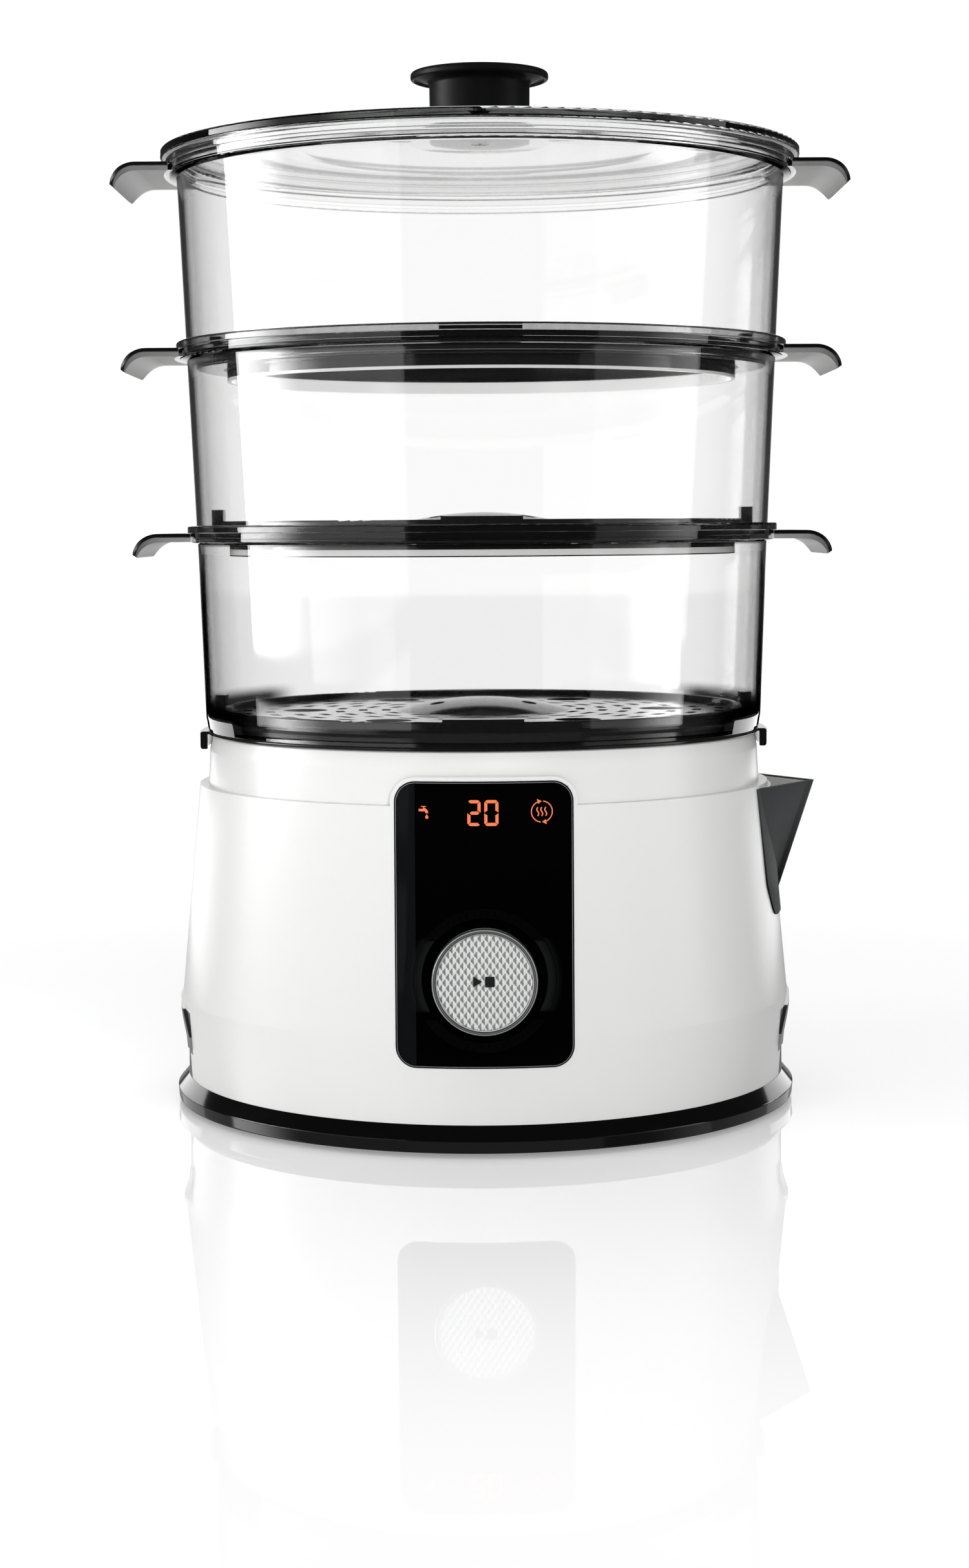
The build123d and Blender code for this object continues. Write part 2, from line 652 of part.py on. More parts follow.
def make_display_module():
    """LED reflector block behind the window, its front following the window's curve."""
    body = dial_block(-28.5, 28.5, 57.5, 72.3, BOARD_FRONT, 6.0)
    body = body & housing_form(-HOUSING_WALL - 0.6)
    wells = [
        dial_block(-8.0, 8.0, 59.5, 71.0, -7.0, 6.0),
        dial_block(-25.5, -19.5, 61.5, 69.0, -7.0, 6.0),
        dial_block(18.0, 27.0, 60.5, 70.0, -7.0, 6.0),
    ]
    return one(body - wells)


def make_light_guide():
    """Clear diffuser in front of the LED wells."""
    plate = dial_block(-28.5, 28.5, 57.5, 72.3, -12.0, 6.0)
    return one(plate & (housing_form(-HOUSING_WALL) - housing_form(-HOUSING_WALL - 0.6)))


ENCODER_BACK = BOARD_FRONT
ENCODER_NOSE = -4.9
PLUNGER_R = 3.3
SHAFT_R = 3.0
SHAFT_BACK = -9.0


def make_encoder_body():
    """Rotary encoder with push switch, soldered to the board."""
    body = dial_block(-6.5, 6.5, -6.5, 6.5, ENCODER_BACK, -7.4)
    body += dial_turned((0, -8), (4.5, -8), (4.5, ENCODER_NOSE), (0, ENCODER_NOSE))
    body -= dial_turned((0, -11.7), (3.7, -11.7), (3.7, SHAFT_BACK + 0.1), (0, SHAFT_BACK + 0.1))
    body -= dial_turned((0, SHAFT_BACK), (SHAFT_R + FIT, SHAFT_BACK), (SHAFT_R + FIT, 0), (0, 0))
    return one(body)


def make_encoder_plunger():
    return one(dial_turned((0, -10.8), (PLUNGER_R, -10.8), (PLUNGER_R, SHAFT_BACK - FIT), (0, SHAFT_BACK - FIT)))


def make_encoder_shaft():
    shaft = dial_turned((0, SHAFT_BACK), (SHAFT_R, SHAFT_BACK), (SHAFT_R, 3.5, 0.4), (0, 3.5))
    return one(shaft - dial_block(1.6, 4.0, -4.0, 4.0, -3.0, 4.0))


def make_dial_core():
    """Moulded middle of the dial; its hub grips the flat of the encoder's shaft."""
    core = dial_turned(
        (0, 3.5), (SHAFT_R, 3.5), (SHAFT_R, -1.0), (5.2, -1.0), (5.2, 1.0), (15.5, 1.0), (16.4, 0.3),
        (18.6, 0.3), (18.6, DIAL_FRONT - 2.2), (0, DIAL_FRONT - 2.2),
    )
    core += dial_block(1.6, 3.6, -2.6, 2.6, -1.0, 3.5)
    return one(core)


def make_dial_disc():
    z0 = DIAL_FRONT - 2.2
    z1 = DIAL_FRONT - 0.9
    return one(dial_turned((0, z0), (DIAL_DISC_R - 0.1, z0), (DIAL_DISC_R - 0.1, z1 - 0.4), (DIAL_DISC_R - 0.5, z1), (0, z1)))


def make_dial_rim():
    """Clear rim around the textured disc."""
    return one(
        dial_turned(
            (DIAL_DISC_R, 0.3), (DIAL_R, 0.3, 0.4), (DIAL_R, DIAL_FRONT, 1.2), (DIAL_R - 1.3, DIAL_FRONT, 0.5),
            (DIAL_DISC_R, DIAL_FRONT - 1.0),
        )
    )


def make_ribbon_cable():
    """Flat cable from the foot of the control board to the power board."""
    line = FilletPolyline(
        (-113.1, 42.4), (-113.1, 11.0), (8.0, 11.0), (8.0, BOARD_TOP + 0.4), (20.0, BOARD_TOP + 0.4),
        radius=[6.0, 2.0, 2.0],
    )
    strip = trace(line, line_width=0.8)
    return one(side_prism(strip, -14.0, -2.0))


# ---- Filling spout ----------------------------------------------------------------------------
LINER_GAP = 0.05
LINER_WALL = 1.4


def spout_prism(inset):
    return side_prism(spout_shield(inset), 96.0, 150.0)


def make_fill_spout():
    """Dark outer beak clipped on the housing, with a thin rim that follows the housing wall."""
    spout = (beak(0.0, 78.0, SPOUT_TOP_Z) + housing_form(0.7, SPOUT_TOP_Z)) & spout_prism(0.0)
    spout -= beak(SPOUT_WALL, 78.0, SPOUT_TOP_Z + 4.0) & spout_prism(SPOUT_WALL)
    duct = block(
        90.0, 150.0, -DUCT_HALF_W - 0.1, DUCT_HALF_W + 0.1, DUCT_Z0 - 0.1, DUCT_Z1 + 0.1
    )
    spout -= duct & housing_form(0.1)
    return one(spout - housing_form())


def make_spout_liner():
    """Pale chute: it lines the beak and leads the water through the wall into the tank."""
    outside = SPOUT_WALL + LINER_GAP
    inside = outside + LINER_WALL
    liner = beak(outside, 78.0, SPOUT_TOP_Z + 4.0) & spout_prism(outside)
    liner -= housing_form(LINER_GAP)
    liner -= block(90.0, 150.0, -60.0, 60.0, SPOUT_TOP_Z - 0.6, 150.0)
    hollow = beak(inside, 78.0, SPOUT_TOP_Z + 4.0) & spout_prism(inside)
    hollow -= block(90.0, 150.0, -60.0, 60.0, 70.0, DUCT_Z0 + LINER_WALL)
    liner -= hollow - housing_form(LINER_WALL)
    duct = block(95.4, 135.0, -DUCT_HALF_W, DUCT_HALF_W, DUCT_Z0, DUCT_Z1)
    liner += duct & housing_form(LINER_GAP)
    water_way = block(
        90.0, 135.0, -DUCT_HALF_W + LINER_WALL, DUCT_HALF_W - LINER_WALL,
        DUCT_Z0 + LINER_WALL, DUCT_Z1 - LINER_WALL,
    )
    return one(liner - (water_way & housing_form(LINER_WALL + 0.2)))


def make_port_seal():
    """Rubber frame that seals the chute against the tank wall."""
    seal = block(96.0, 101.6, -DUCT_HALF_W - 3, DUCT_HALF_W + 3, DUCT_Z0 - 3, DUCT_Z1 + 3)
    seal -= block(90.0, 105.0, -DUCT_HALF_W, DUCT_HALF_W, DUCT_Z0, DUCT_Z1)
    return one(seal - disc(TANK_R, 80.0, 135.0))


# ---- Drip tray --------------------------------------------------------------------------------
DRIP_DISH_R = 113.4
DRIP_FLOOR_Z = 146.2
CHIMNEY_R = 22.0


def make_drip_tray():
    """Catches condensate; a hooded chimney in the middle lets the steam through."""
    rim_z = DRIP_Z + DRIP_RIM
    tray = turned(
        (CHIMNEY_R - 2.0, DRIP_FLOOR_Z),
        (DRIP_DISH_R, DRIP_FLOOR_Z, 4.0),
        (DRIP_DISH_R, DRIP_Z),
        (118.4, DRIP_Z, 0.3),
        (118.4, rim_z, 0.4),
        (DRIP_DISH_R - 1.8, rim_z, 0.8),
        (DRIP_DISH_R - 1.8, DRIP_FLOOR_Z + 1.8, 3.0),
        (CHIMNEY_R, DRIP_FLOOR_Z + 1.8, 1.5),
        (CHIMNEY_R, 155.0, 0.8),
        (CHIMNEY_R - 2.0, 155.0, 0.8),
    )
    lug = revolve(
        Plane.XZ * make_face(FilletPolyline(
            (117.5, DRIP_Z), (119.0, DRIP_Z), (119.0, 152.2), (122.0, 152.2), (122.0, rim_z),
            (117.5, rim_z),
            radius=[0, 0, 0.5, 1.0, 1.0, 0], close=True,
        )),
        Axis.Z,
        2 * LUG_HALF_ANGLE,
    )
    tray += around(lug, (-LUG_HALF_ANGLE, 180.0 - LUG_HALF_ANGLE))
    hood = turned(
        (0, 158.6), (20.0, 158.6, 6.0), (25.4, 155.6), (26.4, 157.0, 0.8), (21.0, 160.6, 8.0), (0, 161.0)
    )
    web = block(18.0, 22.5, -1.2, 1.2, 150.0, 158.9)
    tray += hood
    tray += around(web, (0, 60, 120, 180, 240, 300))
    return one(tray)


LUG_HALF_ANGLE = 8.5


# ---- Bowls ------------------------------------------------------------------------------------
def handle_section(rim_z, collar_r, reach_x):
    """J-shaped section of a handle in (x, z): flat plate, then a bend down to a thin tip."""
    top = rim_z - RIM_FLANGE - 0.1
    bend_x = reach_x - 11.0
    tip_z = top - HANDLE_DROP
    outer = [
        Line((collar_r - 14.0, top), (bend_x, top)),
        TangentArc((bend_x, top), (reach_x, tip_z + 1.4), tangent=(1, 0)),
    ]
    end = outer[1] @ 1
    tip_in = (reach_x - HANDLE_TIP + 0.1, tip_z)
    inner_start = (bend_x - 1.0, top - HANDLE_ROOT)
    inner = [
        TangentArc(inner_start, tip_in, tangent=(1, 0)),
        Line(inner_start, (collar_r - 14.0, top - HANDLE_ROOT)),
        Line((collar_r - 14.0, top - HANDLE_ROOT), (collar_r - 14.0, top)),
    ]
    tip = Line((end.X, end.Y), tip_in)
    return make_face(Curve() + outer + inner + [tip])


def make_handle(rim_z, collar_r, flange_r):
    """One handle, on +X, the width trimmed by rounded corners in plan and in side view."""
    reach_x = flange_r + HANDLE_REACH
    section = Plane(origin=(0, HANDLE_HALF_W, 0), x_dir=(1, 0, 0), z_dir=(0, -1, 0))
    handle = extrude(section * handle_section(rim_z, collar_r, reach_x), 2 * HANDLE_HALF_W)
    length = 80.0
    plan = Pos(reach_x - length / 2, 0, rim_z - 20.0) * extrude(
        RectangleRounded(length, 2 * HANDLE_HALF_W, 5.0), 30.0
    )
    height = 60.0
    low = rim_z - RIM_FLANGE - 0.1 - HANDLE_DROP
    front = side_prism(
        Pos(0, low + height / 2) * RectangleRounded(2 * HANDLE_HALF_W, height, 7.0), 60.0, reach_x + 1.0
    )
    return (handle & plan & front) - disc(collar_r - 0.7, rim_z - 20.0, rim_z + 1.0)


def make_bowl(name):
    """Clear bowl: floor ledge, skirt, tapered wall, socketed rim band and two handles."""
    b = BOWLS[name]
    foot, rim = b["foot"], b["rim"]
    band = rim - RIM_BAND
    socket = rim - RIM_SOCKET
    collar_r = b["flange"] - 1.5
    socket_r = b["flange"] - 3.2
    below = {"bottom": None, "middle": "bottom", "top": "middle"}[name]
    rest = foot if below is None else BOWLS[below]["rim"] - RIM_SOCKET + SEAT_GAP
    skirt = b["skirt"]
    outline = [(FLOOR_LEDGE_R, foot), (skirt, foot, 0.5)]
    if below is None:
        outline.append((b["wall0"] + 0.7, 166.0, 8.0))
    else:
        outline += [(skirt, rest), (b["wall0"], rest, 0.5)]
    outline += [
        (b["wall1"], band),
        (collar_r, band + 0.9, 0.6),
        (collar_r, rim - RIM_FLANGE),
        (b["flange"], rim - RIM_FLANGE, 0.4),
        (b["flange"], rim, 1.0),
        (socket_r, rim, 0.5),
        (socket_r, socket),
        (b["wall1"] - BOWL_WALL, socket, 0.5),
    ]
    if below is None:
        outline.append((b["wall0"] + 0.7 - BOWL_WALL, 166.0, 8.0))
        outline.append((skirt - BOWL_WALL, foot + FLOOR_LEDGE))
    else:
        outline += [
            (b["wall0"] - BOWL_WALL, rest + 2.2),
            (skirt - BOWL_WALL, rest + 2.2),
            (skirt - BOWL_WALL, foot + FLOOR_LEDGE),
        ]
    outline.append((FLOOR_LEDGE_R, foot + FLOOR_LEDGE, 0.5))
    bowl = turned(*outline)
    handle = make_handle(rim, collar_r, b["flange"])
    return one(bowl + around(handle, (0, 180)))


# ---- Removable perforated bottoms -------------------------------------------------------------
def slot_solids():
    """Arc slots in rings, left out where they would run into an egg hole."""
    egg_centres = [
        (EGG_PITCH_R * cos(radians(a)), EGG_PITCH_R * sin(radians(a))) for a in range(0, 360, 60)
    ]
    slots = []
    for index, r in enumerate(SLOT_RINGS):
        count = round(2 * pi * r / SLOT_PITCH)
        step = 360.0 / count
        half = step / 2 - degrees_of(4.6, r)
        turn = step / 2 if index % 2 else 0.0
        for i in range(count):
            mid = i * step + turn
            ends = [(r * cos(radians(mid + k * half)), r * sin(radians(mid + k * half))) for k in (-1, 0, 1)]
            clear = all(
                sqrt((x - ex) ** 2 + (y - ey) ** 2) > EGG_HOLE_R + SLOT_W / 2 + 1.4
                for x, y in ends
                for ex, ey in egg_centres
            )
            in_catch = r > 98.0 and abs((mid + 90.0 + 180.0) % 360.0 - 180.0) < 13.0
            if clear and not in_catch:
                slots.append(arc_slot(r, mid - half, mid + half))
    return slots


def degrees_of(length, radius):
    return 180.0 * length / (pi * radius)


def arc_slot(r, a0, a1):
    """One slot through the plate: two arcs and two straight ends."""
    r0, r1 = r - SLOT_W / 2, r + SLOT_W / 2
    mid = (a0 + a1) / 2
    points = [
        (radius * cos(radians(a)), radius * sin(radians(a)))
        for radius, a in ((r0, a0), (r0, mid), (r0, a1), (r1, a1), (r1, mid), (r1, a0))
    ]
    edges = [
        ThreePointArc(points[0], points[1], points[2]),
        Line(points[2], points[3]),
        ThreePointArc(points[3], points[4], points[5]),
        Line(points[5], points[0]),
    ]
    return extrude(make_face(Curve() + edges), 8.0)


def make_tray():
    """Perforated bottom, drawn at its seat: plate, dome, curb, flange, skirt, catch and ears."""
    top = TRAY_PLATE
    under = top - 2.0
    cap_r = (TRAY_DOME_R**2 + TRAY_DOME_RISE**2) / (2 * TRAY_DOME_RISE)
    half_r = TRAY_DOME_R / 2
    half_z = top + TRAY_DOME_RISE - cap_r + sqrt(cap_r**2 - half_r**2)
    inner_r = TRAY_DOME_R - 2.0
    dome = [
        Line((inner_r, under), (TRAY_SKIRT_R - 2.0, under)),
        Line((TRAY_SKIRT_R - 2.0, under), (TRAY_SKIRT_R - 2.0, -7.0)),
        Line((TRAY_SKIRT_R - 2.0, -7.0), (TRAY_SKIRT_R, -7.0)),
        Line((TRAY_SKIRT_R, -7.0), (TRAY_SKIRT_R, 0.0)),
        Line((TRAY_SKIRT_R, 0.0), (TRAY_R, 0.0)),
        Line((TRAY_R, 0.0), (TRAY_R, 1.6)),
        Line((TRAY_R, 1.6), (113.4, 2.6)),
        Line((113.4, 2.6), (112.6, 4.8)),
        Line((112.6, 4.8), (112.2, 7.0)),
        ThreePointArc((112.2, 7.0), (111.2, 7.7), (110.2, 7.0)),
        Line((110.2, 7.0), (109.4, top)),
        Line((109.4, top), (TRAY_DOME_R, top)),
        ThreePointArc((TRAY_DOME_R, top), (half_r, half_z), (0, top + TRAY_DOME_RISE)),
        Line((0, top + TRAY_DOME_RISE), (0, top + TRAY_DOME_RISE - 2.0)),
        ThreePointArc((0, top + TRAY_DOME_RISE - 2.0), (half_r, half_z - 2.0), (inner_r, under)),
    ]
    tray = revolve(Plane.XZ * make_face(Curve() + dome))
    egg = disc(EGG_HOLE_R, 0.0, 8.0, EGG_PITCH_R, 0.0)
    vent = disc(3.2, 0.0, 14.0, 22.7, 0.0)
    tray -= slot_solids() + around(egg, range(0, 360, 60)) + around(vent, (90, 210, 330))
    tray += make_tray_catch()
    ear = block(111.0, 116.2, -4.5, 4.5, 1.0, 12.6)
    ear -= Pos(111.0, 0, 12.6) * Rot(0, 32, 0) * Box(6.0, 20.0, 30.0, align=(Align.MAX, Align.CENTER, Align.CENTER))
    tray += around(ear, (0, 180))
    return one(tray)


def make_tray_catch():
    """Snap catch on the front of the curb: a wide tongue standing a little above it."""
    outer = ring(109.6, 114.0, 2.0, 9.0) & block(-16.0, 16.0, -120.0, -90.0, 0.0, 12.0)
    lower = ring(110.0, 114.8, 1.0, 5.0) & block(-21.5, 21.5, -120.0, -90.0, 0.0, 12.0)
    return outer + lower


# ---- Lid --------------------------------------------------------------------------------------
def make_lid_shell():
    """Clear shallow dome with a turned-down skirt that drops into the top bowl's socket."""
    z0 = BOWLS["top"]["rim"] + SEAT_GAP
    z1 = z0 + LID_RIM
    skirt_r = BOWLS["top"]["flange"] - 4.2
    return one(
        turned(
            (3.75, z1 + LID_RISE - 3.4),
            (30.0, z1 + LID_RISE - 3.5, 60.0),
            (80.0, z1 + LID_RISE - 5.6, 200.0),
            (skirt_r - 4.0, z1 - 2.6, 4.0),
            (skirt_r - 2.2, z0 - 4.0),
            (skirt_r, z0 - 4.0, 0.6),
            (skirt_r, z0),
            (LID_R, z0, 0.8),
            (LID_R, z1, 1.0),
            (skirt_r, z1 + 0.1, 6.0),
            (80.0, z1 + LID_RISE - 3.0, 200.0),
            (30.0, z1 + LID_RISE - 0.6, 60.0),
            (1.8, z1 + LID_RISE - 0.4),
            (1.8, z1 + LID_RISE - 1.45),
        )
    )


LID_CROWN_Z = 400.0 + SEAT_GAP + LID_RIM + LID_RISE - 0.4


def make_lid_knob():
    """Black knob: hollow stem with a wide dished disc on top."""
    under = KNOB_TOP_Z - 3.9
    knob = turned(
        (0, LID_CROWN_Z + 8.0),
        (5.0, LID_CROWN_Z + 8.0),
        (5.0, LID_CROWN_Z),
        (KNOB_STEM_R - 3.0, LID_CROWN_Z),
        (KNOB_STEM_R - 0.2, LID_CROWN_Z),
        (KNOB_STEM_R, under - 1.0, 2.0),
        (KNOB_R - 2.6, under + 1.2, 0.8),
        (KNOB_R - 1.4, under - 0.1, 0.4),
        (KNOB_R, under + 0.4, 1.0),
        (KNOB_R, KNOB_TOP_Z - 0.5, 1.4),
        (KNOB_R - 4.0, KNOB_TOP_Z, 1.0),
        (0, KNOB_TOP_Z),
    )
    knob -= ring(7.0, KNOB_STEM_R - 3.0, LID_CROWN_Z, under - 2.0)
    knob -= disc(1.75, LID_CROWN_Z, LID_CROWN_Z + 12.0)
    return one(knob)


def make_lid_screw():
    """Countersunk screw that holds the knob, flush with the lid's underside."""
    low = LID_CROWN_Z - 2.9
    screw = turned(
        (0, low), (3.6, low), (1.7, low + 1.9), (1.7, LID_CROWN_Z + 11.0), (0, LID_CROWN_Z + 12.0)
    )
    screw -= Pos(0, 0, low) * extrude(Rectangle(3.6, 0.7) + Rectangle(0.7, 3.6), 0.7)
    return one(screw)


# ---- Write one STEP per piece -----------------------------------------------------------------
save("base_ring", make_base_ring())
save("base_plate", make_base_plate())
save("rubber_feet", *make_rubber_feet())
save("base_screws", *make_base_screws())
save("outer_housing", make_outer_housing())
save("hand_grip_left", make_grip(-1))
save("hand_grip_right", make_grip(1))
save("cord_gland", make_cord_gland())
save("water_tank", make_water_tank())
save("heater_plate", make_heater_plate())
save("heater_seal", make_heater_seal())
save("heater_screws", *make_heater_screws())
element, element_end = make_heating_element()
save("heating_element", element)
save("thermostat", make_thermostat())
save("thermal_fuse", make_thermal_fuse())
save("temperature_sensor", make_temperature_sensor())
save("power_board", make_power_board())
save("power_board_screws", *make_board_screws())
save("relay", make_relay())
save("transformer", make_transformer())
save("capacitor", make_capacitor())
save("terminal_block", make_terminal_block())
save("heater_leads", *make_heater_leads(element_end))
save("ribbon_cable", make_ribbon_cable())
save("panel_bezel", make_panel_bezel())
save("panel_window", make_panel_window())
save("dial_rib_ring", *make_rib_ring().solids())
save("panel_carrier", make_panel_carrier())
save("control_board", make_control_board())
save("control_board_screws", *make_control_screws())
save("display_module", make_display_module())
save("light_guide", make_light_guide())
save("encoder_body", make_encoder_body())
save("encoder_plunger", make_encoder_plunger())
save("encoder_shaft", make_encoder_shaft())
save("dial_core", make_dial_core())
save("dial_disc", make_dial_disc())
save("dial_rim", make_dial_rim())
save("fill_spout", make_fill_spout())
save("spout_liner", make_spout_liner())
save("port_seal", make_port_seal())
save("drip_tray", make_drip_tray())
tray = make_tray()
for name, bowl in BOWLS.items():
    save(f"bowl_{name}", make_bowl(name))
    save(f"tray_{name}", Pos(0, 0, bowl["foot"] + FLOOR_LEDGE + SEAT_GAP) * tray)
save("lid_shell", make_lid_shell())
save("lid_knob", make_lid_knob())
save("lid_knob_screw", make_lid_screw())
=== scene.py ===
from math import cos, pi, radians, sin

import bpy
import bmesh
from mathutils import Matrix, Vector


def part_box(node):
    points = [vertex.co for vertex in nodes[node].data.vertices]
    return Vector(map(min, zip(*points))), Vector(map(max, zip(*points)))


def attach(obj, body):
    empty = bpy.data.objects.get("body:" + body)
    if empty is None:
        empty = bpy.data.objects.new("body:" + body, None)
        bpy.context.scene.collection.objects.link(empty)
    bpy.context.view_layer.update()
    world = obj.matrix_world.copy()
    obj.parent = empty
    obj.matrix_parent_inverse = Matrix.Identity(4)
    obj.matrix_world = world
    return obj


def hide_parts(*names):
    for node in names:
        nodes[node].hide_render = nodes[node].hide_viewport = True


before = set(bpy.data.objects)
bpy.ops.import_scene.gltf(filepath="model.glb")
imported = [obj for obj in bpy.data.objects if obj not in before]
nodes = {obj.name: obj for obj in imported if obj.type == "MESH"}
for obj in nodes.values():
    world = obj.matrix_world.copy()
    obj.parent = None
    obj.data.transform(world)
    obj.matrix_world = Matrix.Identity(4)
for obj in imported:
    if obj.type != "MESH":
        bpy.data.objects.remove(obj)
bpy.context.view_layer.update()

# ---- Studio -----------------------------------------------------------------------------------
# A pale table that mirrors the foot of the machine and fades away, three lamps for the shading,
# and tall diffusers and low cards at the sides that only the gloss of the machine shows.
CAMERA_LOOKS_DOWN = 5.337
CAMERA_ROLL = 0.36
camera = bpy.data.objects.new("camera", bpy.data.cameras.new("camera"))
bpy.context.scene.collection.objects.link(camera)
camera.location = (0.0010, -1.1957, 0.2465)
camera.rotation_euler = (radians(90.0 - CAMERA_LOOKS_DOWN), radians(CAMERA_ROLL), 0.0)
camera.data.lens = 63.57
camera.data.sensor_width = 36.0
camera.data.clip_start = 0.05
bpy.context.scene.camera = camera
bpy.context.scene.view_settings.view_transform = "Standard"


def join(tree, source, target):
    """Feed a socket from another socket, or set it to a number or a colour."""
    if isinstance(source, bpy.types.NodeSocket):
        tree.links.new(source, target)
    else:
        target.default_value = source


def calculate(tree, operation, first, second=0.0, clamp=False):
    """Math node; each side is a socket or a number."""
    node = tree.nodes.new("ShaderNodeMath")
    node.operation = operation
    node.use_clamp = clamp
    join(tree, first, node.inputs[0])
    join(tree, second, node.inputs[1])
    return node.outputs[0]


def ramp(tree, value, low, high, start, end, course="SMOOTHSTEP"):
    """Lead from start to end while the value goes from low to high, softly or in LINEAR course."""
    node = tree.nodes.new("ShaderNodeMapRange")
    node.interpolation_type = course
    join(tree, value, node.inputs["Value"])
    join(tree, low, node.inputs["From Min"])
    join(tree, high, node.inputs["From Max"])
    join(tree, start, node.inputs["To Min"])
    join(tree, end, node.inputs["To Max"])
    return node.outputs[0]


def mix(tree, mask, under, over):
    """Colour that goes from under to over as the mask goes from 0 to 1."""
    node = tree.nodes.new("ShaderNodeMix")
    node.data_type = "RGBA"
    join(tree, mask, node.inputs["Factor"])
    join(tree, under, node.inputs["A"])
    join(tree, over, node.inputs["B"])
    return node.outputs["Result"]


def straight_view(tree):
    """The Light Path node, and 1 for rays straight from the eye, also through clear walls."""
    ray = tree.nodes.new("ShaderNodeLightPath")
    bent = calculate(tree, "ADD", ray.outputs["Glossy Depth"], ray.outputs["Diffuse Depth"])
    return ray, calculate(tree, "SUBTRACT", 1.0, bent, clamp=True)


def split(tree, vector):
    """Sockets x, y and z of a vector."""
    axes = tree.nodes.new("ShaderNodeSeparateXYZ")
    join(tree, vector, axes.inputs[0])
    return axes.outputs["X"], axes.outputs["Y"], axes.outputs["Z"]


def flat_step(tree, operation, vector):
    """Vector node that works on a vector without its height."""
    flat = tree.nodes.new("ShaderNodeVectorMath")
    flat.operation = "MULTIPLY"
    join(tree, vector, flat.inputs[0])
    join(tree, (1, 1, 0), flat.inputs[1])
    node = tree.nodes.new("ShaderNodeVectorMath")
    node.operation = operation
    join(tree, flat.outputs["Vector"], node.inputs[0])
    return node


# Cosines of the angles from straight behind at which the white sector ends and is full.
SECTOR_EDGE, SECTOR_FULL = 0.965, 0.985


def behind(tree, vector):
    """1 in a narrow sector straight behind the machine, otherwise 0."""
    x, y, z = split(tree, flat_step(tree, "NORMALIZE", vector).outputs["Vector"])
    return ramp(tree, y, SECTOR_EDGE, SECTOR_FULL, 0.0, 1.0)


def lamp(name, place, width, height, watts):
    """Soft rectangular lamp aimed at the middle of the base; gloss and glass don't show it."""
    light = bpy.data.lights.new(name, "AREA")
    light.shape = "RECTANGLE"
    light.size = width
    light.size_y = height
    light.energy = watts
    box = bpy.data.objects.new(name, light)
    bpy.context.scene.collection.objects.link(box)
    box.location = place
    box.rotation_euler = (Vector((0, 0, 0.15)) - Vector(place)).to_track_quat("-Z", "Y").to_euler()
    box.visible_glossy = False
    box.visible_transmission = False


lamp("left_lamp", (-1.30, -0.30, 0.45), 0.6, 0.9, 6.0)
lamp("front_lamp", (0.25, -1.60, 0.65), 0.7, 0.7, 12.5)
lamp("top_lamp", (0, -0.20, 1.45), 1.0, 0.9, 5.0)

# The room is dim for gloss, bright for soft shading, and white where it is looked at.
ROOM_LEVEL = 0.24
ROOM_IN_GLOSS = 0.04
ROOM_IN_VIEW = 1.12
world = bpy.data.worlds.new("studio")
bpy.context.scene.world = world
world.use_nodes = True
tree = world.node_tree
tree.nodes.clear()
ray, straight = straight_view(tree)
glossy = calculate(tree, "MINIMUM", ray.outputs["Glossy Depth"], 1.0)
heading = tree.nodes.new("ShaderNodeTexCoord")
backdrop = calculate(tree, "MULTIPLY", behind(tree, heading.outputs["Generated"]), glossy)
mirrored = calculate(tree, "MULTIPLY", ray.outputs["Is Singular Ray"], ray.outputs["Is Glossy Ray"])
level = calculate(tree, "MULTIPLY", glossy, ROOM_IN_GLOSS - ROOM_LEVEL)
level = calculate(tree, "ADD", level, ROOM_LEVEL)
level = calculate(tree, "MAXIMUM", level, calculate(tree, "MAXIMUM", backdrop, mirrored))
level = calculate(tree, "MAXIMUM", level, calculate(tree, "MULTIPLY", straight, ROOM_IN_VIEW))
room = tree.nodes.new("ShaderNodeBackground")
join(tree, (1, 1, 1, 1), room.inputs["Color"])
join(tree, level, room.inputs["Strength"])
join(tree, room.outputs[0], tree.nodes.new("ShaderNodeOutputWorld").inputs["Surface"])


# Heights on the diffusers: the foot's strength fades out over the first pair, and the dark gap
# between housing and bowls begins and ends over the other two.
FOOT_FADE = (0.07, 0.16)
GAP_BEGINS = (0.080, 0.086)
GAP_ENDS = (0.114, 0.126)


